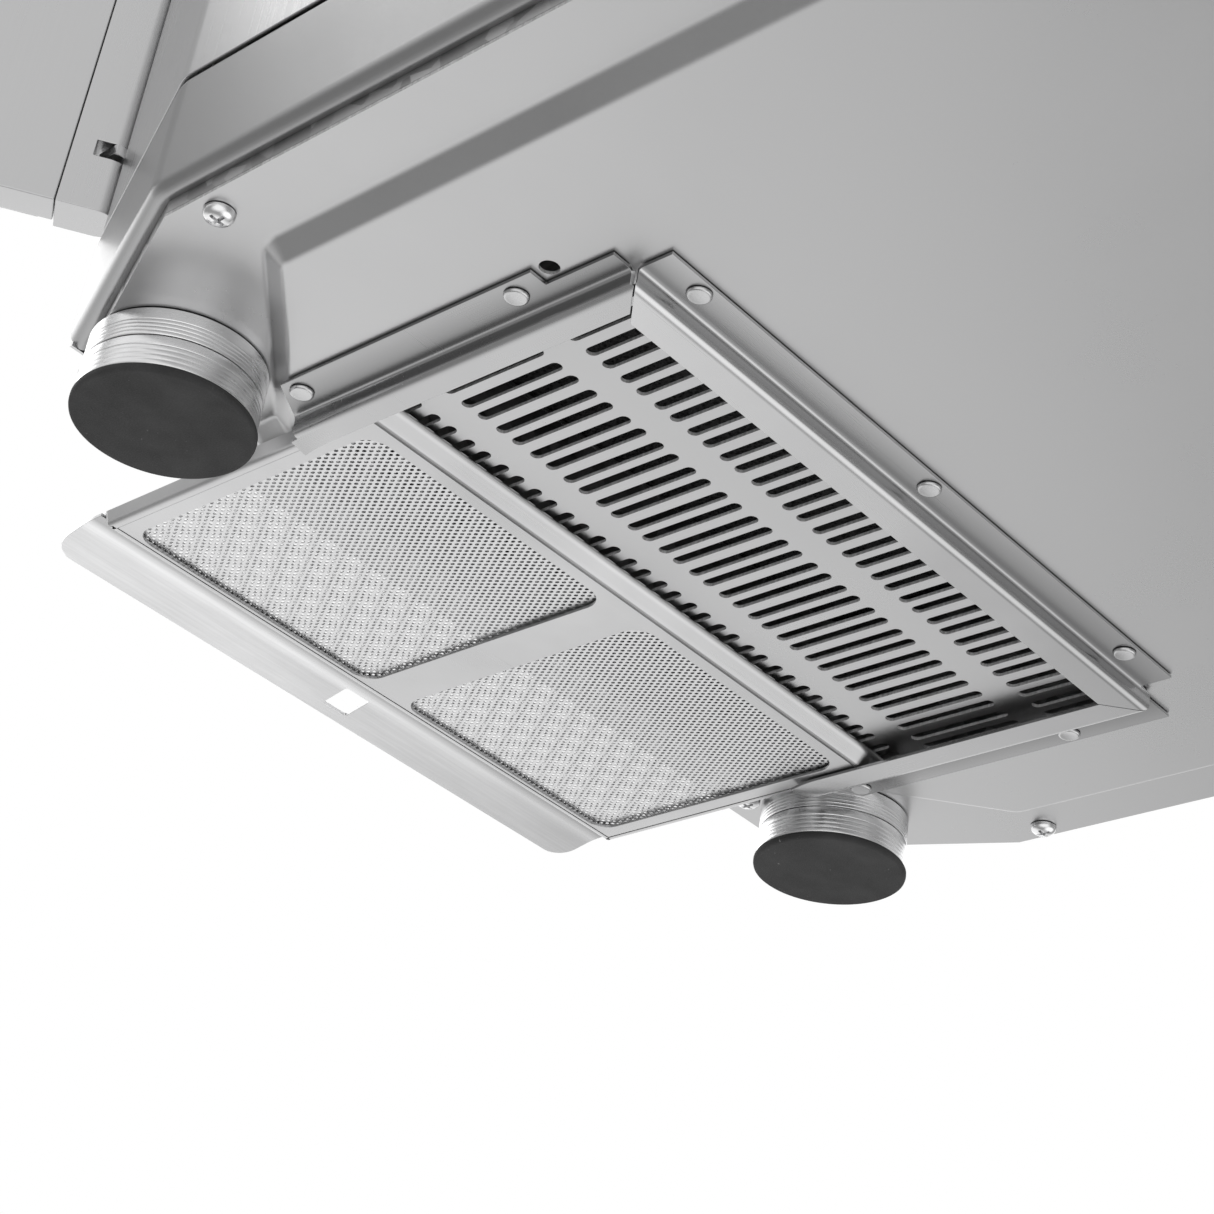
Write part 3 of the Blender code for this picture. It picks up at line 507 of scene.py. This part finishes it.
def plastic(name, level, scale=2400.0, rough=0.42):
    finish = Finish(name, rough, 0.0)
    grain = finish.noise(scale, 2.0)
    wear = finish.noise(40.0, 4.0)
    finish.colour(finish.mix(finish.ramp(wear, 0.35, 0.7), grey(level), grey(level * 1.5)))
    finish.roughness(finish.ramp(wear, 0.3, 0.7, rough - 0.06, rough + 0.1))
    finish.bump(grain, 0.00004)
    return finish.material


def foam():
    finish = Finish("carbon_foam_open", 0.95, 0.0)
    cells = finish.node("TexVoronoi", Vector=finish.place, Scale=620.0)
    # The cell pits are painted darker than the walls, as painted shade in the hollows; the same ramp sets the
    # bump and roughness.
    pits_and_shade = finish.ramp(cells.outputs["Distance"], 0.1, 0.6)
    finish.colour(finish.mix(pits_and_shade, grey(0.012), grey(0.055)))
    finish.roughness(finish.ramp(pits_and_shade, 0.0, 1.0, 0.98, 0.85))
    finish.bump(pits_and_shade, 0.0008)
    return finish.material


PAN = steel("steel_pan", 0.485, 0.30, NO_GRAIN, 0.000010, 0.03, 0.02)
CUT = cut_edge()
CASING = steel("steel_casing", 0.55, 0.30, ALONG_Z, 0.00002, 0.04, 0.05)
COVER = steel("steel_cover", 0.42, 0.40, ALONG_Y, 0.00002, 0.04, 0.05)
DOOR = steel("steel_door", 0.50, 0.30, ALONG_Z, 0.00002, 0.04, 0.05)
HEM = steel("steel_hem", 0.36, 0.34, NO_GRAIN, 0.00001, 0.08, 0.03)
# The back rail's colour has painted shade towards -X and beside its web's fold; the side rails have the
# painted fold shade only.
RAIL_X = steel("steel_rail_back", 0.52, 0.24, ALONG_X, 0.000001, 0.24, 0.015, 0.1, 0.6,
               (1, RAIL_WEB_Y))
RAIL_Y = steel("steel_rail_side", 0.45, 0.24, ALONG_Y, 0.000001, 0.2, 0.015, 0.1, 0.0,
               (0, RAIL_WEB))
FILTER = steel("steel_filter", 0.50, 0.30, ALONG_X, 0.000004, 0.34, 0.04, 0.1)
GRIP = brushed_grip()
FIXING = steel("steel_fixing", 0.75, 0.20, NO_GRAIN, 0.00003, 0.12, 0.05)
RIVET = steel("steel_rivet", 0.50, 0.22, NO_GRAIN, 0.00003, 0.12, 0.06)
WIRE = steel("mesh_wire", 0.60, 0.28, NO_GRAIN, 0.00001, 0.08, 0.03)
ALUMINIUM = aluminium()
RUBBER = rubber()
GALVANISED = galvanised()
PLASTIC = plastic("plastic_black", 0.022)
ENAMEL = plastic("motor_enamel", 0.03, 900.0, 0.3)
FOAM = foam()


def piece(name, bm, finish, body="casing", replaces=(), bevel=0.0, segments=2):
    """Makes a bmesh in millimetres into a piece that rides on a body and stands for its CAD nodes."""
    bmesh.ops.recalc_face_normals(bm, faces=bm.faces)
    bmesh.ops.scale(bm, verts=bm.verts, vec=(MM, MM, MM))
    mesh = bpy.data.meshes.new(name)
    bm.to_mesh(mesh)
    bm.free()
    mesh.materials.append(finish)
    mesh.shade_smooth()
    made = bpy.data.objects.new(name, mesh)
    bpy.context.scene.collection.objects.link(made)
    if bevel:
        edge = made.modifiers.new("edge", "BEVEL")
        edge.width = bevel * MM
        edge.segments = segments
        edge.limit_method = "ANGLE"
        edge.angle_limit = SHARP
        edge.use_clamp_overlap = True
        edge.miter_outer = "MITER_ARC"
    else:
        mesh.set_sharp_from_angle(angle=SHARP)
    even = made.modifiers.new("even", "WEIGHTED_NORMAL")
    even.keep_sharp = True
    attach(made, body)
    if replaces:
        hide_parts(*replaces)
    return made


def carve(target, bm):
    """Takes a closed shape out of a piece, before its bevel."""
    bmesh.ops.recalc_face_normals(bm, faces=bm.faces)
    bmesh.ops.scale(bm, verts=bm.verts, vec=(MM, MM, MM))
    mesh = bpy.data.meshes.new("cutter")
    bm.to_mesh(mesh)
    bm.free()
    cutter = bpy.data.objects.new("cutter", mesh)
    bpy.context.scene.collection.objects.link(cutter)
    made = target.modifiers.new("carve", "BOOLEAN")
    made.object = cutter
    made.operation = "DIFFERENCE"
    made.solver = "EXACT"
    with bpy.context.temp_override(object=target, active_object=target):
        bpy.ops.object.modifier_move_to_index(modifier=made.name, index=0)
        bpy.ops.object.modifier_apply(modifier=made.name)
    bpy.data.objects.remove(cutter)


# --- base --------------------------------------------------------------------------------------------

SCREWS = [(side * x, y) for x, y in ((217.5, -176.5), (146.5, -268.0), (217.5, 176.5)) for side in (-1, 1)]
RIVETS = [(x, y) for x in (-148.0, 148.0) for y in (-119.6, -212.8)]
RIVETS += [(x, -72.5) for x in (-109.0, 5.6, 120.2)]
FEET = [(side * 173.6, end * 245.5) for end in (-1, 1) for side in (-1, 1)]


def slot_outlines():
    """Three rows of paired slots across the tray."""
    outlines = []
    for y in SLOT_ROWS:
        for pair in range(SLOT_PAIRS):
            middle = (pair - (SLOT_PAIRS - 1) / 2) * PAIR_PITCH + SLOT_SHIFT
            for x in (middle - PAIR_SPACING / 2, middle + PAIR_SPACING / 2):
                outlines.append(slot(x, y, SLOT_WIDTH, SLOT_LENGTH))
    return outlines


def pan():
    """The pressed base: a flat margin, a soft step, and the slotted tray."""
    neck = TRAY_SHOULDER_Y + TRAY_HALF - TRAY_NOSE_HALF
    tray = softened(mirrored([(TRAY_NOSE_HALF, -TRAY_NOSE_Y), (TRAY_NOSE_HALF, -neck),
                              (TRAY_HALF, -TRAY_SHOULDER_Y), (TRAY_HALF, TRAY_SHOULDER_Y),
                              (TRAY_NOSE_HALF, neck), (TRAY_NOSE_HALF, TRAY_NOSE_Y)]), TRAY_CORNER, 4)
    front_half = PAN_HIGH.x * PAN_TAPER
    taper = (PAN_HIGH.x - front_half) * (FRONT_Y - TAPER_Y) / (FRONT_HALF - HALF_WIDTH)
    edge = mirrored([(front_half, PAN_LOW.y), (PAN_HIGH.x, PAN_LOW.y + taper), (PAN_HIGH.x, PAN_HIGH.y)])
    bm = bmesh.new()
    ring, tray_edges = loop_edges(bm, inset(tray, TRAY_FOLD), TRAY_Z)
    rise = MARGIN_Z - TRAY_Z
    profile = rounded([(0, 0), (TRAY_FOLD, 0), (TRAY_FOLD + STEP, rise), (2 * TRAY_FOLD + STEP, rise)],
                      TRAY_FOLD * 0.95, 6)
    for out, up in profile[1:]:
        after, margin_edges = loop_edges(bm, inset(tray, TRAY_FOLD - out), TRAY_Z + up)
        skin(bm, ring, after)
        ring = after
    for points in [edge] + [circle(x, y, SCREW_HOLE) for x, y in SCREWS] + \
            [circle(x, y, FOOT_HOLE) for x, y in FEET]:
        margin_edges += loop_edges(bm, points, MARGIN_Z)[1]
    for points in slot_outlines() + [circle(*SPARE_HOLE)]:
        tray_edges += loop_edges(bm, points, TRAY_Z)[1]
    fill(bm, tray_edges)
    fill(bm, margin_edges)
    thicken(bm, Vector((0, 0, SHEET)))
    for face in bm.faces:
        face.normal_update()
        face.material_index = int(abs(face.normal.z) < 0.1)
    made = piece("pan", bm, PAN, "casing", ["base_pan"], 0.35, 3)
    made.data.materials.append(CUT)
    made.modifiers["edge"].material = 0


def side_rail(side):
    """A Z section along one side; its lip runs on at the front as a tab that flares down."""
    section = folded([(RAIL_FLANGE, RAIL_TOP), (RAIL_WEB, RAIL_TOP), (RAIL_WEB, RAIL_BOTTOM),
                      (RAIL_LIPS[side], RAIL_BOTTOM)], RAIL_FOLD, steps=8)
    tab_start, tab_end = RAIL_TAB_Y
    tab_steps = 5
    stations = []
    for station in range(tab_steps + 2):
        t = max(0, station - 1) / tab_steps
        points = []
        for x, z in section:
            on_lip = x < RAIL_WEB - RAIL_FOLD
            back = RAIL_WEB_Y - GAP - max(0.0, RAIL_WEB - x) if x < RAIL_WEB else RAIL_WEB_Y - 1.4
            front = tab_end if on_lip else RAIL_FRONT_Y + 0.6 * max(0.0, x - RAIL_WEB)
            start = tab_start if on_lip else tab_start + 10.0
            y = back if station == 0 else start + (front - start) * t
            flare = RAIL_TAB_FLARE * t * t if on_lip else 0.0
            points.append((side * x, y, z - flare))
        stations.append(points)
    name = "right" if side > 0 else "left"
    made = piece(f"rail_{name}_folded", loft(stations, sheet=True), RAIL_Y, "casing",
                 [f"rail_{name}"], RAIL_BEVEL)
    if side > 0:
        carve(made, box(*RAIL_NOTCH))


def back_rail():
    """The same section across the back, mitred where its lip meets the side rails."""
    section = folded([(RAIL_BACK_Y, RAIL_TOP), (RAIL_WEB_Y, RAIL_TOP), (RAIL_WEB_Y, RAIL_BOTTOM),
                      (RAIL_LIP_Y, RAIL_BOTTOM)], RAIL_FOLD, steps=8)
    ends = []
    for side, flange_end in BACK_RAIL_FLANGE.items():
        points = []
        for y, z in section:
            lip_end = side * (RAIL_WEB - GAP - max(0.0, RAIL_WEB_Y - y))
            points.append((flange_end if y > RAIL_WEB_Y + 1.0 else lip_end, y, z))
        ends.append(points)
    piece("rail_back_folded", loft(ends, sheet=True), RAIL_X, "casing", ["rail_back"],
          RAIL_BEVEL)


def rivet(number, x, y):
    """A flat head with a rolled edge."""
    top = TRAY_Z - SHEET - 2 * GAP
    profile = [(0, top - 0.75), (2.6, top - 0.75), (3.1, top - 0.95), (3.6, top - 0.85), (3.9, top - 0.5),
               (4.0, top - 0.2), (4.0, top), (0, top)]
    piece(f"rivet_head_{number}", turned(profile, (x, y, 0), 40), RIVET, "casing",
          [f"rail_rivet_{number}"])


def screw(number, x, y):
    """A pan head with a cross recess and a washer face."""
    head = MARGIN_Z - GAP
    profile = [(0, head - 3.05), (2.0, head - 3.0), (3.4, head - 2.7), (4.4, head - 2.0), (4.9, head - 1.1),
               (5.0, head), (2.0, head), (2.0, head + 8), (0, head + 8)]
    made = piece(f"screw_head_{number}", turned(profile, (x, y, 0), 40), FIXING, "casing",
                 [f"pan_screw_{number}"])
    low, deep = head - 3.6, head - 1.1
    for wide, long in ((0.62, 2.9), (2.9, 0.62)):
        wings = [[(x + a * wide * k, y + b * long * k, z) for a, b in rectangle(-1, 1, -1, 1)]
                 for z, k in ((low, 1.12), (deep, 0.62))]
        carve(made, loft(wings))


def grooved(low, high, count):
    """Points up a foot's turned wall, which has evenly spaced fine grooves."""
    wall = []
    pitch = (high - low) / count
    for i in range(count):
        start = low + i * pitch
        for share, depth in GROOVE:
            wall.append((FOOT_RADIUS - depth, start + share * pitch))
    wall.append((FOOT_RADIUS - 0.2, high))
    return wall


def foot(number, x, y):
    """A grooved collar on the pan, a barrel that screws out of it, and a rubber pad."""
    radius = FOOT_RADIUS
    low, high = COLLAR_Z
    collar = [(FOOT_HOLE, low)] + grooved(low, low + 5.8, 4)
    collar += [(radius, low + 6.1), (radius, high - 0.4), (radius - 0.4, high), (FOOT_HOLE, high)]
    piece(f"foot_collar_turned_{number}", turned(collar, (x, y, 0), 96), ALUMINIUM, "casing",
          [f"foot_collar_{number}"])
    low, high = BARREL_Z
    barrel = [(0, low)] + grooved(low, low + 7.3, 4)
    barrel += [(radius, low + 7.6), (radius, high - 0.6), (radius - 0.5, high), (STEM_RADIUS, high),
               (STEM_RADIUS, STEM_TOP - 2.0), (STEM_RADIUS - 1.5, STEM_TOP), (0, STEM_TOP)]
    piece(f"foot_barrel_turned_{number}", turned(barrel, (x, y, 0), 96), ALUMINIUM, f"foot_{number}",
          [f"foot_barrel_{number}"])
    pad = PAD_RADIUS
    edge = [(0, 0), (pad - 1.4, 0), (pad - 0.7, 0.15), (pad - 0.2, 0.5), (pad, 1.2), (pad, PAD_TOP - 0.8),
            (pad - 0.3, PAD_TOP - 0.2), (pad - 0.8, PAD_TOP), (0, PAD_TOP)]
    piece(f"foot_pad_moulded_{number}", turned(edge, (x, y, 0), 96), RUBBER, f"foot_{number}",
          [f"foot_pad_{number}"])


# --- filter ------------------------------------------------------------------------------------------

def filter_frame():
    """A tray pressed round two windows: turned-up walls on three sides and a sloping roll at the back."""
    x1, y0, y1 = FILTER_HIGH.x, FILTER_LOW.y, FILTER_HIGH.y
    low, high = FILTER_LOW.z, FILTER_HIGH.z
    half, border = FRAME_SHEET / 2, 4.6
    windows = []
    for side in (-1, 1):
        across = sorted((side * (MESH_LOW.x - GAP), side * (MESH_HIGH.x + GAP)))
        windows.append(rectangle(*across, MESH_LOW.y - GAP, MESH_HIGH.y + GAP, WINDOW_CORNER))
    outline = rectangle(border - x1, x1 - border, y0 + border, y1 - 7.4)
    sheet = plate(outline, windows, low + 0.15, low + 0.15 + SHEET)
    piece("filter_frame_sheet", sheet, FILTER, "filter", ["filter_frame"], 0.22)
    wall = folded([(half, high), (2.2, low + half), (4.4, low + half)], 1.3, FRAME_SHEET, 6)
    path = rounded([(-x1, y1 - 1.0), (-x1, y0), (x1, y0), (x1, y1 - 1.0)], 3.0, 6)
    piece("filter_frame_wall", swept_open(wall, path), FILTER, "filter")
    line = [(y1 - 7.6, low + half), (y1 - 6.8, low + half), (y1 - 5.9, low + 0.9), (y1 - 1.6, low + 3.0),
            (y1 - 0.5, low + 4.6), (y1 - 2.4, high - 0.5), (y1 - 6.0, high - 0.5)]
    roll = folded(rounded(line, 0.7, 4), 0.1, FRAME_SHEET)
    ends = [[(x, y, z) for y, z in roll] for x in (0.9 - x1, x1 - 0.9)]
    piece("filter_back_roll", loft(ends, sheet=True), FILTER, "filter")


def mesh_layer(side, name, node, height, tilt, open_x, open_y, wide, long):
    """Expanded mesh: staggered six-sided cells cut in one sheet, whose strands tilt."""
    margin = 0.1
    x0, x1 = sorted((side * (MESH_LOW.x - MESH_REACH), side * (MESH_HIGH.x + MESH_REACH)))
    y0, y1 = MESH_LOW.y - MESH_REACH, MESH_HIGH.y + MESH_REACH
    bm = bmesh.new()
    corners = {}

    def corner(column, row, rise):
        key = (column, row)
        if key not in corners:
            x = min(max(x0 + column * wide / 2, x0 + margin), x1 - margin)
            y = min(max(y0 + row * long / 6, y0 + margin), y1 - margin)
            corners[key] = bm.verts.new((x, y, height + rise))
        return corners[key]

    columns, rows = int((x1 - x0) / wide), int((y1 - y0) / long * 2)
    for row in range(rows):
        for column in range(columns):
            cx, cy = 2 * column + 1 + row % 2, 3 * row + 2
            ring = [corner(cx + a, cy + b, tilt * rise) for a, b, rise in
                    ((0, -2, -1), (1, -1, -0.4), (1, 1, 0.4), (0, 2, 1), (-1, 1, 0.4), (-1, -1, -0.4))]
            if any((ring[i].co - ring[i - 1].co).length < 2 * margin for i in range(6)):
                continue
            middle = sum((v.co for v in ring), Vector()) / 6
            hole = []
            for vert in ring:
                away = vert.co - middle
                hole.append(bm.verts.new(middle + Vector((away.x * open_x, away.y * open_y, away.z * 0.4))))
            skin(bm, ring, hole)
    if node:
        thicken(bm, Vector((0, 0, MESH_SHEET)))
    piece(name, bm, WIRE, "filter", node)


def filter_meshes():
    """Two layers in each window; the lower one stands for the CAD panel."""
    for side, name in ((-1, "left"), (1, "right")):
        for layer, (rise, *cells) in MESH_LAYERS.items():
            node = [f"filter_mesh_{name}"] if layer == "lower" else []
            mesh_layer(side, f"mesh_{name}_{layer}", node, FILTER_LOW.z + rise, *cells)


def grip():
    """The sloping pull: a hollow bend, then a flat with round corners and a hook hole."""
    front, end, half = GRIP_HIGH.y, GRIP_LOW.y, GRIP_HIGH.x
    top, bottom = GRIP_HIGH.z, GRIP_LOW.z
    outline = [(half, front), (half, end + GRIP_CORNER)]
    for step in range(1, 11):
        angle = step * pi / 20
        outline.append((half - GRIP_CORNER * (1 - cos(angle)), end + GRIP_CORNER * (1 - sin(angle))))
    outline = mirrored(outline[::-1])
    x0, x1, hole_start, hole_end = HOOK_HOLE
    hole = rectangle(x0, x1, end + hole_start, end + hole_end, 1.2)
    bm = plate(outline, [hole], top - SHEET, top)
    sliced(bm, [front - GRIP_FLAT - 0.8 * i for i in range(14)], 1)
    slope = (top - SHEET - bottom) / (front - end - GRIP_FLAT - GRIP_BEND / 2)
    for vert in bm.verts:
        run = front - vert.co.y
        t = min(1.0, max(0.0, (run - GRIP_FLAT) / GRIP_BEND))
        fallen = GRIP_BEND * t ** 2 / 2 if t < 1.0 else run - GRIP_FLAT - GRIP_BEND / 2
        vert.co.z -= slope * fallen
    piece("grip_bent", bm, GRIP, "filter", ["filter_grip"], 0.3)


# --- casing ------------------------------------------------------------------------------------------

def skirt():
    """The folded skirt: a rolled hem runs round the sides and the back, and ends at the front corners."""
    low, high = SKIRT_LOW.z, SKIRT_HIGH.z
    half = SHEET / 2
    wall = [(11.0, high - half), (half, high - half), (half, low + half)]
    hem = wall[:2] + [(half, low + 3.4), (4.3, low + half), (7.9, low + 3.4), (7.9, low + 9.0)]
    corners = [(-FRONT_HALF, FRONT_Y), (-HALF_WIDTH, TAPER_Y), (-HALF_WIDTH, BACK_Y), (HALF_WIDTH, BACK_Y),
               (HALF_WIDTH, TAPER_Y), (FRONT_HALF, FRONT_Y)]
    around = swept_open([(-d, z) for d, z in folded(hem, 2.2, steps=7)], rounded(corners, 4.0, 4))
    rear = piece("skirt_hemmed", around, HEM, "casing", ["base_skirt"])
    x0, x1, z0, z1 = INLET_HOLE
    carve(rear, box(x0, x1, BACK_Y - 9, BACK_Y + 9, z0, z1))
    across = [(FRONT_HALF - 0.8, FRONT_Y), (0.8 - FRONT_HALF, FRONT_Y)]
    front = piece("skirt_front", swept_open([(-d, z) for d, z in folded(wall, 1.5, steps=4)], across), CASING,
                  "casing")
    x0, x1, z0, z1 = SWITCH_HOLE
    carve(front, box(x0, x1, FRONT_Y - 9, FRONT_Y + 9, z0, z1))


def side_panel(side, name):
    """One sheet folded at the front corner, along the taper, and round both ends."""
    low, high = box_mm(f"side_panel_{name}")
    middle = SHEET / 2
    back = BACK_Y - SHEET - GAP - middle
    line = [(FRONT_HALF - 18, FRONT_Y + middle), (FRONT_HALF - middle, FRONT_Y + middle),
            (HALF_WIDTH - middle, TAPER_Y), (HALF_WIDTH - middle, back), (HALF_WIDTH - 14, back)]
    outline = [(side * x, y) for x, y in folded(line, 3.0)]
    piece(f"side_{name}_folded", plate(outline, [], low.z, high.z), CASING, "casing",
          [f"side_panel_{name}"], 0.25)


def outlet_grille():
    """A framed grille over the outlet, whose slits have round corners."""
    low, high = box_mm("outlet_grille")
    pitch = (high.z - low.z - 2 * GRILLE_BORDER) / GRILLE_BARS
    holes = []
    for bar in range(GRILLE_BARS):
        start = low.z + GRILLE_BORDER + bar * pitch
        holes.append(rectangle(low.x + 12, high.x - 12, start + 1.2, start + pitch - 1.2, 1.8))
    bm = plate(rectangle(low.x, high.x, low.z, high.z, GRILLE_CORNER), holes, low.y, high.y, "XZ")
    piece("outlet_grille_pressed", bm, RIVET, "casing", ["outlet_grille"], 0.3)


def refined(node, finish, bevel, body="casing"):
    """Stands for a CAD node with the same shape and softly broken edges."""
    bm = bmesh.new()
    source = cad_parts[node]
    bm.from_mesh(source.data)
    bmesh.ops.transform(bm, verts=bm.verts, matrix=Matrix.Scale(1 / MM, 4) @ source.matrix_world)
    bmesh.ops.remove_doubles(bm, verts=bm.verts, dist=0.001)
    bmesh.ops.dissolve_limit(bm, angle_limit=radians(1), verts=bm.verts, edges=bm.edges)
    return piece(f"{node}_refined", bm, finish, body, [node], bevel)


def casing():
    """The pieces that keep their CAD shape, with broken edges and their own finishes."""
    refined("top_cover", COVER, 0.6)
    refined("rear_panel", CASING, 0.3)
    refined("door_frame", CASING, 0.3)
    refined("front_door", DOOR, 0.5, "door")
    refined("door_stile", DOOR, 0.3, "door")
    refined("door_liner", GALVANISED, 0.4, "door")
    refined("door_handle", FIXING, 0.4, "door")
    refined("hinge_tab_lower", FIXING, 0.3)
    refined("hinge_tab_upper", FIXING, 0.3)
    refined("speed_knob", PLASTIC, 0.4, "knob")
    refined("power_rocker", PLASTIC, 0.3, "rocker")
    refined("switch_body", PLASTIC, 0.3)
    refined("mains_inlet", PLASTIC, 0.4)
    refined("cassette_frame", PLASTIC, 0.4, "cassette")
    hidden = {"base_frame": GALVANISED, "intake_duct": GALVANISED, "filter_shelf": GALVANISED,
              "blower_scroll": GALVANISED, "blower_wheel": GALVANISED, "motor_bracket": GALVANISED,
              "cassette_foam": FOAM, "speed_control": PLASTIC, "blower_motor": ENAMEL}
    for name, finish in hidden.items():
        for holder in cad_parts[name].material_slots:
            holder.material = finish


# --- studio ------------------------------------------------------------------------------------------

CAMERA_PLACE = (0.5601, 0.361, -0.4572)
CAMERA_RIGHT = (-0.6523, 0.7462, 0.1332)
CAMERA_UP = (0.4627, 0.2524, 0.8499)
LENS, SENSOR = 79.3, 36.0
CLIP = (0.01, 50.0)
FLOOR_RADIUS = 9.0
FLOOR_DROP = 0.0004
FLOOR_GREY = 0.82


def camera():
    """Below the unit and behind its right side, looking up at the front of its base."""
    data = bpy.data.cameras.new("camera")
    data.lens, data.sensor_width = LENS, SENSOR
    data.clip_start, data.clip_end = CLIP
    made = bpy.data.objects.new("camera", data)
    right, up = Vector(CAMERA_RIGHT).normalized(), Vector(CAMERA_UP)
    up = (up - right * up.dot(right)).normalized()
    axes = Matrix((right, up, right.cross(up))).transposed().to_4x4()
    made.matrix_world = Matrix.Translation(CAMERA_PLACE) @ axes
    bpy.context.scene.collection.objects.link(made)
    bpy.context.scene.camera = made


def floor():
    """A pale floor that only its upper side shows, so that the unit can be seen from below it."""
    bm = bmesh.new()
    bm.faces.new([bm.verts.new((x, y, -FLOOR_DROP)) for x, y in circle(0, 0, FLOOR_RADIUS, 96)])
    mesh = bpy.data.meshes.new("floor")
    bm.to_mesh(mesh)
    bm.free()
    material = bpy.data.materials.new("floor_pale")
    material.use_nodes = True
    nodes, links = material.node_tree.nodes, material.node_tree.links
    shader = nodes["Principled BSDF"]
    shader.inputs["Base Color"].default_value = (FLOOR_GREY, FLOOR_GREY, FLOOR_GREY, 1)
    shader.inputs["Roughness"].default_value = 0.8
    clear = nodes.new("ShaderNodeBsdfTransparent")
    side = nodes.new("ShaderNodeNewGeometry")
    mix = nodes.new("ShaderNodeMixShader")
    links.new(side.outputs["Backfacing"], mix.inputs[0])
    links.new(shader.outputs[0], mix.inputs[1])
    links.new(clear.outputs[0], mix.inputs[2])
    links.new(mix.outputs[0], nodes["Material Output"].inputs[0])
    mesh.materials.append(material)
    made = bpy.data.objects.new("floor", mesh)
    made.visible_shadow = False
    made.visible_diffuse = False
    made.visible_glossy = False
    bpy.context.scene.collection.objects.link(made)


# Soft areas of the studio: direction, the cosines where an area fades in and is full, and brightness.
SKY = (
    ((0.0, 0.0, 1.0), -1.2, -1.1, 0.36),
    ((0.0, 0.0, 1.0), -0.1, 0.5, 0.62),
    ((-0.3, -0.85, -0.45), 0.66, 1.0, 0.88),
    ((-0.52, 0.36, -0.76), 0.78, 0.97, 1.1),
    ((0.6, 0.62, -0.5), 0.55, 0.95, 0.85),
    ((-0.85, -0.5, 0.2), 0.75, 0.98, 0.7),
    ((0.0, -0.86, 0.51), 0.75, 0.97, 1.3),
)


def studio():
    """A world made of soft areas of light, which looks plain white behind the unit."""
    world = bpy.data.worlds.new("studio")
    bpy.context.scene.world = world
    world.use_nodes = True
    nodes, links = world.node_tree.nodes, world.node_tree.links
    light, seen = nodes["Background"], nodes.new("ShaderNodeBackground")
    for background in (light, seen):
        background.inputs[0].default_value = (1, 1, 1, 1)
    place = nodes.new("ShaderNodeTexCoord").outputs["Generated"]
    total = None
    for way, start, end, level in SKY:
        aim = nodes.new("ShaderNodeVectorMath")
        aim.operation = "DOT_PRODUCT"
        aim.inputs[1].default_value = Vector(way).normalized()
        links.new(place, aim.inputs[0])
        lobe = nodes.new("ShaderNodeMapRange")
        lobe.interpolation_type = "SMOOTHSTEP"
        for socket, number in (("From Min", start), ("From Max", end), ("To Min", 0.0), ("To Max", level)):
            lobe.inputs[socket].default_value = number
        links.new(aim.outputs["Value"], lobe.inputs["Value"])
        if total is None:
            total = lobe.outputs[0]
            continue
        add = nodes.new("ShaderNodeMath")
        links.new(total, add.inputs[0])
        links.new(lobe.outputs[0], add.inputs[1])
        total = add.outputs[0]
    links.new(total, light.inputs[1])
    path = nodes.new("ShaderNodeLightPath")
    mix = nodes.new("ShaderNodeMixShader")
    links.new(path.outputs["Is Camera Ray"], mix.inputs[0])
    links.new(light.outputs[0], mix.inputs[1])
    links.new(seen.outputs[0], mix.inputs[2])
    links.new(mix.outputs[0], nodes["World Output"].inputs[0])
    bpy.context.scene.view_settings.view_transform = "Standard"


def main():
    pan()
    for side, name in ((-1, "left"), (1, "right")):
        side_rail(side)
        side_panel(side, name)
    back_rail()
    for number, (x, y) in enumerate(RIVETS, 1):
        rivet(number, x, y)
    for number, (x, y) in enumerate(SCREWS, 1):
        screw(number, x, y)
    for number, (x, y) in enumerate(FEET, 1):
        foot(number, x, y)
    filter_frame()
    filter_meshes()
    grip()
    skirt()
    outlet_grille()
    casing()
    camera()
    floor()
    studio()


main()
